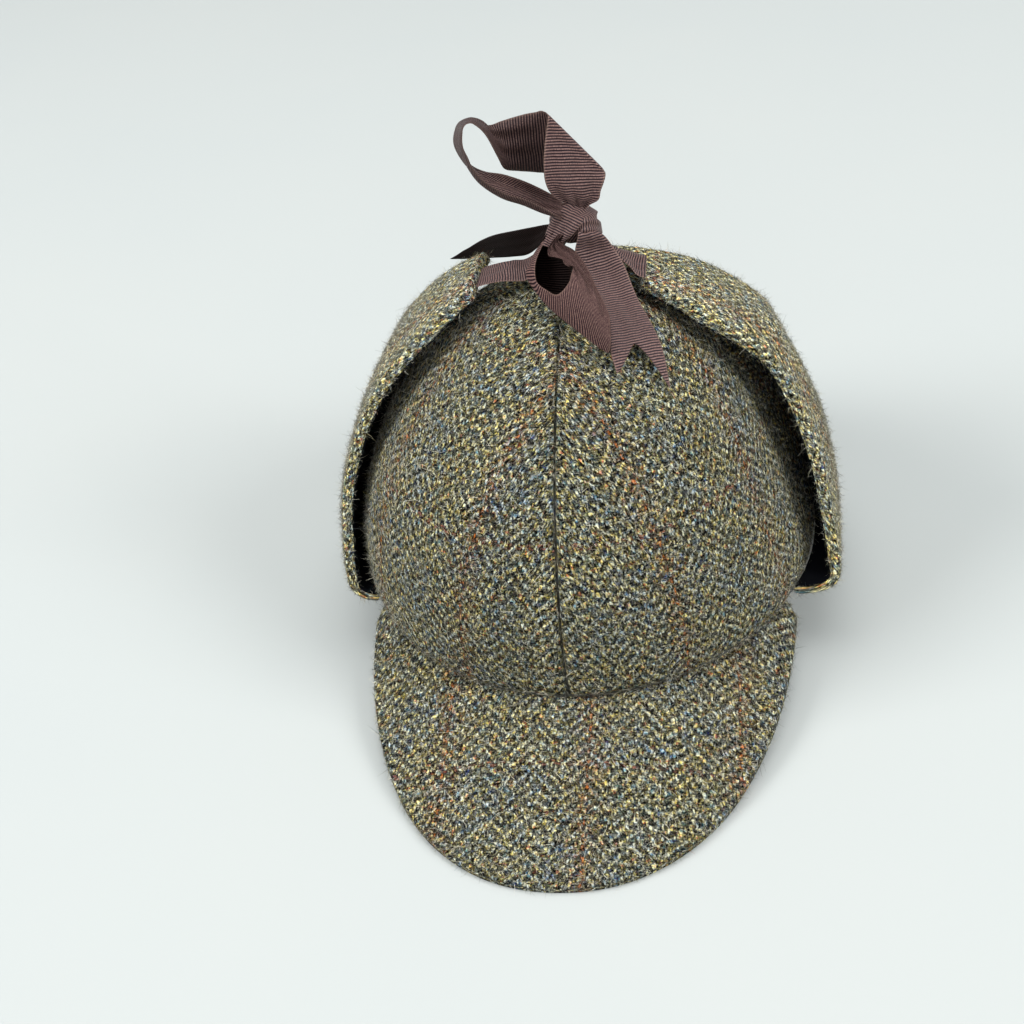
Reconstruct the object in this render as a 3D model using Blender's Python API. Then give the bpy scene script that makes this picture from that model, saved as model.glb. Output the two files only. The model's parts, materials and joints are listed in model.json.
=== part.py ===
"""Deerstalker hat: a crown of four gores, two peaks, two ear flaps tied up over the crown, and a ribbon bow.

Metres, +Z up. The front peak points towards -Y. Left and right are as seen from the front, so that the left
flap is at -X, on the wearer's right. The hat stands by itself on the outer edges of its two peaks, at z = 0, and
the origin is under the middle of the crown.
"""

import math

import bmesh
import bpy
from mathutils import Vector

MM = 0.001
PIECE_GAP = 0.0003

# Crown: a dome on an oval rim, sewn from equal gores with a seam at the front, the back and each side.
CROWN_HALF_WIDTH = 0.088
CROWN_HALF_LENGTH = 0.099
CROWN_HEIGHT = 0.1115
CROWN_BULGE = 0.045
CROWN_WALL = 0.0025
CROWN_TOP_LIFT = math.radians(89.0)
GORE_COUNT = 4
GORE_ACROSS = 12
GORE_UP = 14
# How far the front half's sides are pressed in under the flaps at each lift. Behind the side seam the crown
# comes out again to its even dome.
CROWN_RETURN = 0.45
CROWN_SIDES = [
    # lift, left side, right side
    (0.0, 0.0, 0.0),
    (5.0, 0.0, 0.0),
    (15.0, 1.0 * MM, 7.0 * MM),
    (30.0, 3.0 * MM, 10.0 * MM),
    (45.0, 3.0 * MM, 6.0 * MM),
    (60.0, 1.0 * MM, 2.0 * MM),
    (75.0, 0.0, 0.0),
    (90.0, 0.0, 0.0),
]

# Rim plane above the surface that the peaks stand on.
RIM_HEIGHT = 0.0212

# Peaks: a crescent from the rim to an outer edge that is a rounded superellipse seen from above.
PEAK_THICKNESS = 0.0035
PEAK_EDGE_THICKNESS = 0.003
PEAK_HALF_WIDTH = 0.0816
PEAK_SIDE_START = 0.0234
PEAK_REACH = 0.0693
PEAK_SQUARENESS = 2.16
PEAK_END_TURN = math.radians(82.0)
PEAK_FALL = 0.019
PEAK_LEVEL_SHARE = 0.86
PEAK_LEVEL_POWER = 0.75
PEAK_REST_HALF_WIDTH = 0.045
PEAK_REST_SHARE = 0.9
PEAK_ALONG = 30
PEAK_ACROSS = 6
PEAK_ROW_POWER = 1.4

# Ear flaps: two layers of cloth, hemmed at the rim, folded up and following the crown to its top.
FLAP_THICKNESS = 0.005
FLAP_SEAM_GAP = 0.0005
FLAP_SEAM_RISE = 0.003
FLAP_HEM_RISE = 0.006
FLAP_HEM_SHARE = 0.12
FLAP_BACK_CORNER_START = 0.010
FLAP_BACK_CORNER_RUN = 0.014
FLAP_TUCK_RUN = 0.024
FLAP_TUCK_GAP = 0.003
FLAP_TUCK_TOP = math.radians(46.0)
FLAP_TUCK_FADE = math.radians(18.0)
FLAP_ACROSS = 12
FLAP_ALONG = 20
# Lift: degrees up the crown. Front and back: where the flap's two edges lie along Y. Gap: to the dome at
# Y = 0. Curve: how much the flap bends round from its front edge to its back edge, per metre.
LEFT_FLAP_SECTIONS = [
    # lift, front, back, gap, curve
    (0.0, -47.0 * MM, 50.0 * MM, 3.9 * MM, 6.6),
    (15.0, -40.0 * MM, 46.0 * MM, 3.0 * MM, 7.5),
    (30.0, -30.0 * MM, 39.0 * MM, 2.3 * MM, 4.7),
    (45.0, -26.0 * MM, 34.0 * MM, 4.5 * MM, 2.1),
    (60.0, -20.0 * MM, 31.0 * MM, 5.6 * MM, 3.6),
    (72.0, -7.0 * MM, 26.0 * MM, 6.2 * MM, 6.7),
    (80.0, -4.0 * MM, 25.0 * MM, 7.0 * MM, 6.9),
]
LEFT_FLAP_TIP = (70.6, 0.0)
RIGHT_FLAP_SECTIONS = [
    # lift, front, back, gap, curve
    (0.0, -46.0 * MM, 49.0 * MM, 5.3 * MM, 0.2),
    (15.0, -29.0 * MM, 45.0 * MM, 2.6 * MM, 3.7),
    (30.0, -19.0 * MM, 40.0 * MM, 4.1 * MM, 8.6),
    (45.0, -15.0 * MM, 35.0 * MM, 8.0 * MM, 7.5),
    (60.0, -15.0 * MM, 30.0 * MM, 5.8 * MM, 6.8),
    (72.0, -5.0 * MM, 26.0 * MM, 3.0 * MM, 7.1),
    (80.0, 3.0 * MM, 25.0 * MM, 1.2 * MM, 6.5),
]
RIGHT_FLAP_TIP = (73.1, 8.0)

# Ribbon: grosgrain, its routes measured from the middle of the rim plane.
RIBBON_THICKNESS = 0.001
RIBBON_ACROSS = 4
RIBBON_STEPS = 2
KNOT_CENTRE = (4.5, 4.0, 134.0)
KNOT_HALF_SIZE = (9.0, 7.0, 8.0)
# Each station: where the ribbon's two edges are, and how far its middle bows out of the straight line between
# them and which way, in millimetres. Gathered ends are narrower than the whole ribbon.
LEFT_TIE = [
    # x, y, z of one edge, x, y, z of the other, x, y, z of the bow
    (-32.5, 13.0, 113.0, -32.5, -3.0, 113.5, 0.0, 0.0, 0.0),
    (-24.5, 10.0, 116.0, -23.0, -4.0, 115.5, 0.0, 0.0, 1.0),
    (-20.0, 10.0, 116.5, -18.5, -4.0, 115.5, 0.0, 0.0, 3.0),
    (-14.0, 10.0, 117.0, -12.5, -4.0, 116.0, -1.0, -0.5, 3.0),
    (-8.5, 8.0, 121.5, -5.0, -1.0, 121.0, -1.0, -0.5, 1.5),
    (-1.0, 5.0, 126.5, 0.5, 1.0, 126.0, 0.0, 0.0, 0.0),
]
RIGHT_TIE = [
    # x, y, z of one edge, x, y, z of the other, x, y, z of the bow
    (29.0, 14.0, 114.5, 29.5, -4.0, 114.5, 0.0, 0.0, 0.0),
    (25.5, 13.0, 116.5, 26.5, -4.0, 116.5, -0.5, 0.0, -1.0),
    (21.5, 11.0, 119.0, 24.5, -2.0, 118.5, -0.5, 0.0, -1.0),
    (17.5, 8.0, 122.0, 20.0, 0.0, 121.5, 0.0, 0.0, 0.0),
    (11.0, 6.5, 127.5, 11.0, 2.0, 127.5, 0.0, 0.0, 0.0),
]
UPPER_LOOP = [
    # x, y, z of one edge, x, y, z of the other, x, y, z of the bow
    (3.0, 1.0, 142.5, 11.0, 1.5, 141.5, 0.0, 0.0, 0.0),
    (-1.0, 0.5, 146.5, 14.5, 1.5, 143.5, 0.0, -1.0, 0.0),
    (-3.0, 0.0, 151.0, 15.5, 2.0, 146.5, 0.0, -1.0, 0.0),
    (-3.5, 0.5, 156.0, 17.0, 2.5, 149.5, 0.0, 0.0, 0.0),
    (-3.0, 2.5, 162.0, 17.5, 3.5, 151.0, 0.0, 0.0, 0.0),
    (-2.0, 4.5, 167.5, 17.5, 4.0, 152.0, 0.0, 0.0, 0.0),
    (-1.0, 6.0, 172.5, 17.0, 4.0, 152.5, 0.0, 0.0, 0.0),
    (-1.5, 8.0, 173.0, 16.5, 6.0, 152.0, 0.0, 0.0, 0.0),
    (-2.5, 10.0, 173.0, 12.0, 8.5, 151.0, 0.0, 0.0, 0.0),
    (-4.0, 11.0, 173.0, 2.5, 11.0, 149.5, 0.0, 0.0, 0.0),
    (-5.5, 11.0, 172.5, -5.5, 13.0, 149.0, 0.0, 0.0, 0.0),
    (-9.0, 11.0, 172.0, -10.0, 13.0, 149.5, 0.0, 0.0, 0.0),
    (-13.5, 11.0, 171.0, -14.5, 12.0, 150.5, 0.0, 0.0, 0.0),
    (-18.0, 11.0, 170.0, -18.0, 10.0, 152.5, 0.0, 0.0, 0.0),
    (-22.5, 11.5, 169.0, -19.0, 4.5, 160.0, 0.0, 0.0, 0.0),
    (-26.0, 12.5, 170.5, -21.0, -2.0, 171.0, 0.0, 0.0, 0.0),
    (-30.0, 14.0, 170.5, -24.0, -6.5, 177.0, 0.0, 0.0, 0.0),
    (-33.5, 14.0, 169.5, -27.0, -8.0, 177.0, 0.0, 0.0, 0.0),
    (-35.5, 13.0, 166.5, -28.5, -8.5, 174.0, 0.0, 0.0, 0.0),
    (-36.0, 12.0, 162.5, -29.0, -9.0, 169.5, 0.0, 0.0, 0.0),
    (-34.0, 11.0, 158.0, -28.0, -9.0, 165.5, 0.0, 0.0, 0.0),
    (-30.5, 10.0, 154.0, -27.0, -8.5, 161.0, 0.0, 0.0, 0.0),
    (-25.5, 9.0, 152.0, -23.5, -7.5, 155.5, -1.0, -0.5, -1.0),
    (-19.0, 8.0, 151.5, -17.0, -6.0, 150.0, -1.5, 0.0, -3.0),
    (-11.5, 6.5, 149.5, -10.5, -5.0, 147.0, -1.5, 1.0, -4.0),
    (-5.0, 4.5, 147.0, -5.0, -4.5, 143.5, -2.0, 1.5, -3.5),
    (-0.5, 3.0, 144.5, -1.5, -4.0, 140.5, -1.0, 1.0, -1.5),
    (2.0, 1.0, 142.5, 0.5, -2.5, 138.5, 0.0, 0.0, 0.0),
]
FRONT_LOOP = [
    # x, y, z of one edge, x, y, z of the other, x, y, z of the bow
    (-3.0, -1.5, 133.0, -1.0, -1.5, 130.5, 0.0, 0.0, 0.0),
    (-5.0, -3.5, 131.0, 0.0, -4.0, 128.5, -4.0, 3.0, -2.5),
    (-6.0, -6.5, 129.5, 2.0, -7.0, 126.5, -7.0, 4.5, -3.5),
    (-7.5, -9.5, 127.0, 4.5, -11.0, 122.5, -9.0, 5.5, -4.0),
    (-8.0, -12.5, 124.5, 5.5, -18.0, 116.0, -10.0, 7.0, -2.5),
    (-7.5, -16.0, 121.5, 9.0, -27.0, 111.5, -4.5, 1.5, -3.0),
    (-4.0, -20.0, 120.5, 14.0, -36.0, 107.5, -2.0, 1.0, -2.5),
    (0.0, -24.0, 120.5, 18.0, -39.5, 105.0, -0.5, -1.0, -0.5),
    (3.5, -25.0, 123.5, 19.5, -40.0, 109.0, 0.0, -2.0, 1.5),
    (6.0, -23.0, 127.0, 18.5, -34.5, 116.0, 0.5, -2.5, 1.5),
    (5.5, -19.0, 128.0, 14.0, -25.0, 121.5, 0.0, -1.5, 1.0),
    (2.5, -16.0, 128.5, 10.0, -16.5, 126.5, 0.0, -1.0, 0.5),
    (-0.5, -14.0, 128.5, 6.5, -11.0, 130.0, -0.5, 1.0, -1.0),
    (-3.5, -12.0, 128.5, 2.5, -8.0, 131.5, -0.5, 2.0, -1.0),
    (-4.0, -9.0, 130.0, 0.5, -6.0, 132.0, 0.0, 0.5, -0.5),
    (-2.0, -6.0, 131.5, 1.5, -4.0, 132.0, 0.0, 0.0, 0.0),
]
LEFT_TAIL = [
    # x, y, z of one edge, x, y, z of the other, x, y, z of the bow
    (-4.5, 6.5, 132.5, -4.5, 3.5, 129.0, 0.0, 0.0, 0.0),
    (-11.0, 10.0, 130.0, -14.5, 17.0, 116.0, 0.0, 0.0, 0.0),
    (-20.0, 17.0, 125.5, -23.0, 26.0, 110.5, 0.0, 0.0, 0.0),
    (-28.5, 25.0, 120.5, -32.0, 34.0, 106.5, 0.0, 0.0, 0.0),
    (-36.0, 33.0, 114.5, -41.5, 40.0, 103.5, 0.0, 0.0, 0.0),
    (-45.0, 41.0, 106.5, -51.5, 44.0, 102.0, 0.0, 0.0, 0.0),
]
FRONT_TAIL = [
    # x, y, z of one edge, x, y, z of the other, x, y, z of the bow
    (7.0, -4.5, 133.0, 15.0, -1.0, 131.5, 0.0, 0.0, 0.0),
    (5.5, -5.0, 127.5, 19.0, -2.5, 126.0, -0.5, 1.5, -1.0),
    (5.5, -9.0, 123.5, 22.5, -6.5, 121.5, -0.5, 1.5, -2.0),
    (8.5, -14.5, 119.0, 25.0, -11.5, 117.0, -0.5, 1.0, -1.5),
    (12.5, -21.5, 115.0, 28.0, -17.5, 112.5, -0.5, 0.5, -1.0),
    (16.0, -29.5, 110.5, 32.5, -25.5, 108.0, 0.0, 0.0, 0.0),
    (18.5, -38.0, 105.5, 36.5, -34.0, 102.0, 0.0, 0.0, 0.0),
    (21.0, -44.5, 99.0, 39.0, -43.5, 91.5, 0.0, 0.0, 0.0),
]
# How much shorter each cut end is along the ribbon's first edge, its middle and its second edge.
UNCUT = (0.0, 0.0, 0.0)
FRONT_TAIL_CUT = (0.0, 11.0 * MM, 0.0)

TWEED = ((0.165, 0.150, 0.105, 1.0), 0.92)
RIBBON = ((0.085, 0.050, 0.047, 1.0), 0.60)


def clear_scene():
    """Remove whatever objects the scene holds."""
    for item in list(bpy.data.objects):
        bpy.data.objects.remove(item, do_unlink=True)


def make_material(name, finish):
    """One plain material for a piece, from a colour and a roughness."""
    colour, roughness = finish
    material = bpy.data.materials.new(name)
    material.use_nodes = True
    shader = material.node_tree.nodes["Principled BSDF"]
    shader.inputs["Base Color"].default_value = colour
    shader.inputs["Roughness"].default_value = roughness
    shader.inputs["Metallic"].default_value = 0.0
    return material


def add_piece(collection, name, bm, finish):
    """Turn a finished bmesh into a named, smooth-shaded object with its own material."""
    bmesh.ops.recalc_face_normals(bm, faces=bm.faces)
    if bm.calc_volume(signed=True) < 0.0:
        bmesh.ops.reverse_faces(bm, faces=bm.faces)
    mesh = bpy.data.meshes.new(name)
    bm.to_mesh(mesh)
    bm.free()
    mesh.materials.append(make_material(name + "_cloth", finish))
    mesh.shade_smooth()
    piece = bpy.data.objects.new(name, mesh)
    collection.objects.link(piece)
    return piece


def cut_edges(bm, axis, segments):
    """Cut every edge of a box that runs along one axis into equal segments."""
    if segments < 2:
        return
    others = [i for i in range(3) if i != axis]
    along = []
    for edge in bm.edges:
        first, last = edge.verts
        if all(abs(first.co[i] - last.co[i]) < 1e-6 for i in others):
            along.append(edge)
    bmesh.ops.subdivide_edges(bm, edges=along, cuts=segments - 1, use_grid_fill=True)


def shaped_wall(across, along, place):
    """A closed wall, shaped from a box whose X runs across it, Y along it and Z through its thickness.

    place(u, v, w) takes each from -1 to 1 and returns the point there.
    """
    bm = bmesh.new()
    bmesh.ops.create_cube(bm, size=2.0)
    cut_edges(bm, 0, across)
    cut_edges(bm, 1, along)
    for vert in bm.verts:
        vert.co = place(*vert.co)
    return bm


def mix(first, last, share):
    """The value a share of the way from first to last."""
    return first + (last - first) * share


def smooth_step(value):
    """A share held between 0 and 1 and eased at both ends."""
    value = min(max(value, 0.0), 1.0)
    return value * value * (3.0 - 2.0 * value)


# Crown


def read_row(rows, key):
    """A row of a table between its rows, read at a value of its first column."""
    for low, high in zip(rows, rows[1:]):
        if key <= high[0]:
            break
    share = min(max((key - low[0]) / (high[0] - low[0]), 0.0), 1.0)
    return [mix(first, last, share) for first, last in zip(low[1:], high[1:])]


def crown_spread(lift):
    """How far out the dome is at a lift angle, as a share of its rim: 1 at the rim, 0 at the top."""
    return math.cos(lift) * (1.0 + CROWN_BULGE * math.sin(math.pi * math.sin(lift)))


def dome_point(turn, lift, half_width=CROWN_HALF_WIDTH):
    """A point on the even dome that the flaps lie over. Turn 0 is the front seam and goes towards +X."""
    spread = crown_spread(lift)
    return Vector((
        half_width * spread * math.sin(turn),
        -CROWN_HALF_LENGTH * spread * math.cos(turn),
        RIM_HEIGHT + CROWN_HEIGHT * math.sin(lift),
    ))


def pressed_in(lift, sideways, forwards):
    """How far in the crown's side is, from the sine and cosine of the turn there."""
    left, right = read_row(CROWN_SIDES, math.degrees(lift))
    kept = smooth_step((forwards + CROWN_RETURN) / CROWN_RETURN)
    return (right if sideways > 0.0 else left) * sideways * sideways * kept


def crown_point(turn, lift):
    """A point on the outside of the crown, its sides pressed in."""
    return dome_point(turn, lift, CROWN_HALF_WIDTH - pressed_in(lift, math.sin(turn), math.cos(turn)))


def crown_normal(turn, lift):
    """The outward direction of the crown's surface."""
    step = 0.002
    sideways = crown_point(turn + step, lift) - crown_point(turn - step, lift)
    upward = crown_point(turn, lift + step) - crown_point(turn, lift - step)
    return sideways.cross(upward).normalized()


def make_gore(collection, index):
    """One gore: a wedge of the dome, a little short of the seam on each side."""
    span = math.tau / GORE_COUNT
    middle = span * (index + 0.5)

    def place(u, v, w):
        lift = CROWN_TOP_LIFT * 0.5 * (v + 1.0)
        radius = math.hypot(*crown_point(middle, lift).xy)
        half = span / 2.0 - PIECE_GAP / 2.0 / radius
        turn = middle + u * half
        depth = CROWN_WALL * 0.5 * (1.0 - w)
        return crown_point(turn, lift) - crown_normal(turn, lift) * depth

    bm = shaped_wall(GORE_ACROSS, GORE_UP, place)
    add_piece(collection, "crown_gore_%d" % (index + 1), bm, TWEED)


# Peaks


def signed_power(value, power):
    """A power of a value's size, with the value's sign."""
    return math.copysign(abs(value) ** power, value)


def peak_edge(turn):
    """The peak's outer edge seen from above, and how much of its whole fall it has there."""
    power = 2.0 / PEAK_SQUARENESS
    share = abs(math.cos(turn)) ** power
    x = PEAK_HALF_WIDTH * signed_power(math.sin(turn), power)
    y = -PEAK_SIDE_START - (CROWN_HALF_LENGTH + PEAK_REACH - PEAK_SIDE_START) * share
    level = min(1.0, (share / PEAK_LEVEL_SHARE) ** PEAK_LEVEL_POWER)
    return Vector((x, y)), level


def make_peak(collection, name, facing):
    """A peak: facing 1 is the front one, and -1 the back one, its mirror image."""

    def place(u, v, w):
        outer, level = peak_edge(u * PEAK_END_TURN)
        turn = math.atan2(outer.x / CROWN_HALF_WIDTH, -outer.y / CROWN_HALF_LENGTH)
        inner = Vector((
            (CROWN_HALF_WIDTH - CROWN_WALL) * math.sin(turn),
            -(CROWN_HALF_LENGTH - CROWN_WALL) * math.cos(turn),
        ))
        share = 1.0 - (1.0 - 0.5 * (v + 1.0)) ** PEAK_ROW_POWER
        plan = inner.lerp(outer, share)
        width = (outer - inner).length
        slope = max(0.0, share * width - CROWN_WALL) / (width - CROWN_WALL)
        top = RIM_HEIGHT - PIECE_GAP - PEAK_FALL * level * slope
        under = max(0.0, top - PEAK_THICKNESS)
        if share > PEAK_REST_SHARE and abs(outer.x) < PEAK_REST_HALF_WIDTH:
            under = 0.0
        top = max(top, under + PEAK_EDGE_THICKNESS)
        height = top if w > 0.0 else under
        return Vector((plan.x, plan.y * facing, height))

    bm = shaped_wall(PEAK_ALONG, PEAK_ACROSS, place)
    add_piece(collection, name, bm, TWEED)


# Ear flaps


def dome_side(lift):
    """The dome's outline over its widest section: the point, its outward direction and metres per radian."""
    quarter = math.pi / 2.0
    step = 0.002
    travel = dome_point(quarter, lift + step) - dome_point(quarter, lift - step)
    outward = Vector((travel.z, 0.0, -travel.x)).normalized()
    return dome_point(quarter, lift), outward, travel.length / (2.0 * step)


def tucked_in(lift, y, side):
    """How far from the dome's side outline the flap is where it lies against the crown itself."""
    spread = crown_spread(lift)
    forwards = -y / (CROWN_HALF_LENGTH * spread)
    sideways = math.sqrt(max(0.0, 1.0 - forwards * forwards))
    pressed = pressed_in(lift, sideways * side, forwards)
    half_width = (CROWN_HALF_WIDTH - pressed) * spread * sideways
    fall_back = (CROWN_HALF_WIDTH * spread - half_width) * dome_side(lift)[1].x
    return FLAP_TUCK_GAP + FLAP_THICKNESS / 2.0 - fall_back


def flap_middle(share, across, side, sections, tip):
    """The middle of the flap's thickness: its distance from the dome's side outline, its lift and its Y."""
    rate = dome_side(0.0)[2]
    seam_lift = FLAP_SEAM_RISE / rate
    hem_lift = (FLAP_SEAM_RISE + FLAP_HEM_RISE) / rate
    if share < FLAP_HEM_SHARE:
        turn = share / FLAP_HEM_SHARE * math.pi / 2.0
        lift = seam_lift + (hem_lift - seam_lift) * (1.0 - math.cos(turn))
        reach = math.sin(turn)
    else:
        corner = mix(*read_row(sections, tip[0])[:2], across)
        back = smooth_step((corner - FLAP_BACK_CORNER_START) / FLAP_BACK_CORNER_RUN)
        climb = (share - FLAP_HEM_SHARE) / (1.0 - FLAP_HEM_SHARE)
        lift = mix(hem_lift, math.radians(tip[0] + tip[1] * back), climb)
        reach = 1.0
    front, back, gap, curve = read_row(sections, math.degrees(lift))
    y = mix(front, back, across)
    stand_off = gap + FLAP_THICKNESS / 2.0 - y * y * curve / 2.0
    tuck = smooth_step((y - back + FLAP_TUCK_RUN) / FLAP_TUCK_RUN)
    tuck *= smooth_step((FLAP_TUCK_TOP - lift) / FLAP_TUCK_FADE)
    stand_off = mix(stand_off, min(stand_off, tucked_in(lift, y, side)), tuck)
    spread = crown_spread(lift)
    hollow = math.sqrt(max(0.0, 1.0 - (y / (CROWN_HALF_LENGTH * spread)) ** 2))
    seam = FLAP_SEAM_GAP - CROWN_HALF_WIDTH * spread * (1.0 - hollow)
    return mix(seam, stand_off, reach), lift, y


def make_flap(collection, name, side, sections, tip):
    """An ear flap: side -1 is at -X, and 1 at +X.

    Tip: how many degrees up it ends, and how much higher its back corner is.
    """

    def place(u, v, w):
        across = 0.5 * (u + 1.0)
        share = 0.5 * (v + 1.0)
        step = 0.004
        before = flap_middle(max(share - step, 0.0), across, side, sections, tip)
        after = flap_middle(min(share + step, 1.0), across, side, sections, tip)
        distance, lift, y = flap_middle(share, across, side, sections, tip)
        rate = dome_side(lift)[2]
        rise = (after[1] - before[1]) * rate
        run = after[0] - before[0]
        length = math.hypot(rise, run)
        offset = w * FLAP_THICKNESS / 2.0
        distance += offset * rise / length
        lift -= offset * run / length / rate
        point, outward, rate = dome_side(lift)
        point = point + outward * distance
        return Vector((point.x * side, y, point.z))

    bm = shaped_wall(FLAP_ACROSS, FLAP_ALONG, place)
    add_piece(collection, name, bm, TWEED)


# Ribbon


def smooth_route(stations, place):
    """A point and its direction of travel on a smooth curve through the stations, place going from 0 to 1."""
    last = len(stations) - 1
    index = min(int(place * last), last - 1)
    t = place * last - index
    points = [Vector(stations[min(max(index + i, 0), last)]) for i in (-1, 0, 1, 2)]
    if index == 0:
        points[0] = points[1] * 2.0 - points[2]
    if index == last - 1:
        points[3] = points[2] * 2.0 - points[1]
    a, b, c, d = points
    square = 2.0 * a - 5.0 * b + 4.0 * c - d
    cube = 3.0 * b - a - 3.0 * c + d
    value = 0.5 * (2.0 * b + (c - a) * t + square * t * t + cube * t ** 3)
    slope = 0.5 * ((c - a) + square * 2.0 * t + cube * 3.0 * t * t)
    return value, slope


def from_rim(x, y, z):
    """A place given in millimetres from the middle of the rim plane, in the hat's own frame."""
    return Vector((x * MM, y * MM, z * MM + RIM_HEIGHT))


def make_ribbon(collection, name, stations, cut=UNCUT):
    """A strip of ribbon through its stations, its far end cut to shape."""
    first = [from_rim(*row[:3]) for row in stations]
    second = [from_rim(*row[3:6]) for row in stations]
    bows = [Vector(row[6:]) * MM for row in stations]
    middles = [(one + other) / 2.0 for one, other in zip(first, second)]
    length = sum((after - before).length for before, after in zip(middles, middles[1:]))

    def place(u, v, w):
        shorter = mix(cut[0] if u < 0.0 else cut[2], cut[1], 1.0 - abs(u))
        along = 0.5 * (v + 1.0) * (1.0 - shorter / length)
        one, one_travel = smooth_route(first, along)
        other, other_travel = smooth_route(second, along)
        bow, bow_travel = smooth_route(bows, along)
        travel = one_travel.lerp(other_travel, 0.5 * (u + 1.0)) + bow_travel * (1.0 - u * u)
        out = travel.cross((other - one) / 2.0 - bow * 2.0 * u).normalized()
        middle = one.lerp(other, 0.5 * (u + 1.0)) + bow * (1.0 - u * u)
        return middle + out * w * RIBBON_THICKNESS / 2.0

    bm = shaped_wall(RIBBON_ACROSS, RIBBON_STEPS * (len(stations) - 1), place)
    add_piece(collection, name, bm, RIBBON)


def make_knot(collection):
    """The knot: a rounded lump that the ribbons leave from."""
    bm = bmesh.new()
    bmesh.ops.create_uvsphere(bm, u_segments=16, v_segments=10, radius=1.0)
    centre = from_rim(*KNOT_CENTRE)
    for vert in bm.verts:
        vert.co = centre + Vector([vert.co[i] * KNOT_HALF_SIZE[i] * MM for i in range(3)])
    add_piece(collection, "bow_knot", bm, RIBBON)


def main():
    """Build the hat's pieces in one collection."""
    clear_scene()
    hat = bpy.data.collections.new("deerstalker_hat")
    bpy.context.scene.collection.children.link(hat)
    for index in range(GORE_COUNT):
        make_gore(hat, index)
    make_peak(hat, "front_peak", 1.0)
    make_peak(hat, "back_peak", -1.0)
    make_flap(hat, "left_ear_flap", -1.0, LEFT_FLAP_SECTIONS, LEFT_FLAP_TIP)
    make_flap(hat, "right_ear_flap", 1.0, RIGHT_FLAP_SECTIONS, RIGHT_FLAP_TIP)
    make_ribbon(hat, "left_tie", LEFT_TIE)
    make_ribbon(hat, "right_tie", RIGHT_TIE)
    make_ribbon(hat, "bow_upper_loop", UPPER_LOOP)
    make_ribbon(hat, "bow_front_loop", FRONT_LOOP)
    make_ribbon(hat, "bow_left_tail", LEFT_TAIL)
    make_ribbon(hat, "bow_front_tail", FRONT_TAIL, FRONT_TAIL_CUT)
    make_knot(hat)


main()
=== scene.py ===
"""A tweed deerstalker hat, its two ear flaps tied up over the crown in a ribbon bow, in a plain pale studio.

Metres, +Z up. The front peak points towards -Y. Left and right in the names are as seen from the front, so
the left flap is at -X. The hat stands by itself on the outer edges of its two peaks.
"""

import json
import logging
import math
from dataclasses import dataclass
from enum import Enum
from typing import Callable, Optional, Sequence

import bmesh
import bpy
import numpy as np
from mathutils import Matrix, Vector, noise

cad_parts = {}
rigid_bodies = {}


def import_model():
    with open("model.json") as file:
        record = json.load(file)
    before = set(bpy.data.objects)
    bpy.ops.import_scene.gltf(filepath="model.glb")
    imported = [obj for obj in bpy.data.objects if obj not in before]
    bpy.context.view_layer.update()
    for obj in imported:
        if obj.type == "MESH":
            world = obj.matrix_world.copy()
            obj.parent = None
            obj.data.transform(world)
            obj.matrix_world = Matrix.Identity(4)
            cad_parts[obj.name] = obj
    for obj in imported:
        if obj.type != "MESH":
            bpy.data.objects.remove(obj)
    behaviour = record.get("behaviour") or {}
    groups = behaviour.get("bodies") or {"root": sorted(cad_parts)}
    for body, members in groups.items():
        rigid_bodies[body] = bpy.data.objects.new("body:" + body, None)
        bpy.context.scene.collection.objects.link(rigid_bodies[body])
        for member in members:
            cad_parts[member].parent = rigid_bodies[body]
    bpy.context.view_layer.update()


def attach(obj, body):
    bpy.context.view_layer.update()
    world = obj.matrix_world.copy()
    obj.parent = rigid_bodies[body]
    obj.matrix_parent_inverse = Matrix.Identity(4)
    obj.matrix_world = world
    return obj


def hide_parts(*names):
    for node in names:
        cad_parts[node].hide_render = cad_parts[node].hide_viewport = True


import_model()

MM = 0.001
BODY = "root"
IMAGE_WIDTH = 1024
SENSOR_WIDTH = 36.0
SEED = 7

Place = Callable[[float, float, float], Vector]
Spread = Callable[[float, float], tuple[float, float]]
Rows = Sequence[Sequence[float]]
Number = float | np.ndarray


class Side(Enum):
    """Which side of the hat a piece is on, as seen from the front."""

    LEFT = -1.0
    RIGHT = 1.0


class Facing(Enum):
    """Which way a peak points."""

    FRONT = 1.0
    BACK = -1.0


# Measures and curves


def mix(first: Number, last: Number, share: Number) -> Number:
    """The value a share of the way from first to last."""
    return first + (last - first) * share


def to_share(place: Number) -> Number:
    """A place from -1 to 1 as a share from 0 to 1."""
    return 0.5 * (place + 1.0)


def smooth_step(value: float) -> float:
    """A share held between 0 and 1 and eased at both ends."""
    value = min(max(value, 0.0), 1.0)
    return value * value * (3.0 - 2.0 * value)


def signed_power(value: float, power: float) -> float:
    """A power of a value's size, with the value's sign."""
    return math.copysign(abs(value) ** power, value)


def crowd(value: float, power: float) -> float:
    """A place from -1 to 1, moved so that even steps crowd together towards both ends."""
    return math.copysign(1.0 - (1.0 - min(abs(value), 1.0)) ** power, value)


def read_row(rows: Rows, key: float) -> list[float]:
    """A row of a table between its rows.

    Args:
        rows: the table, in rising order of its first column.
        key: the value of the first column to read it at.

    Returns:
        The other columns there.
    """
    for low, high in zip(rows, rows[1:]):
        if key <= high[0]:
            break
    share = min(max((key - low[0]) / (high[0] - low[0]), 0.0), 1.0)
    return [mix(first, last, share) for first, last in zip(low[1:], high[1:])]


def wander(point: Vector, size: float, height: float) -> float:
    """A gentle unevenness of a surface: how far it stands out at a point, for waves of that size."""
    return height * noise.noise(point / size)


# Pieces of the scene


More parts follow.
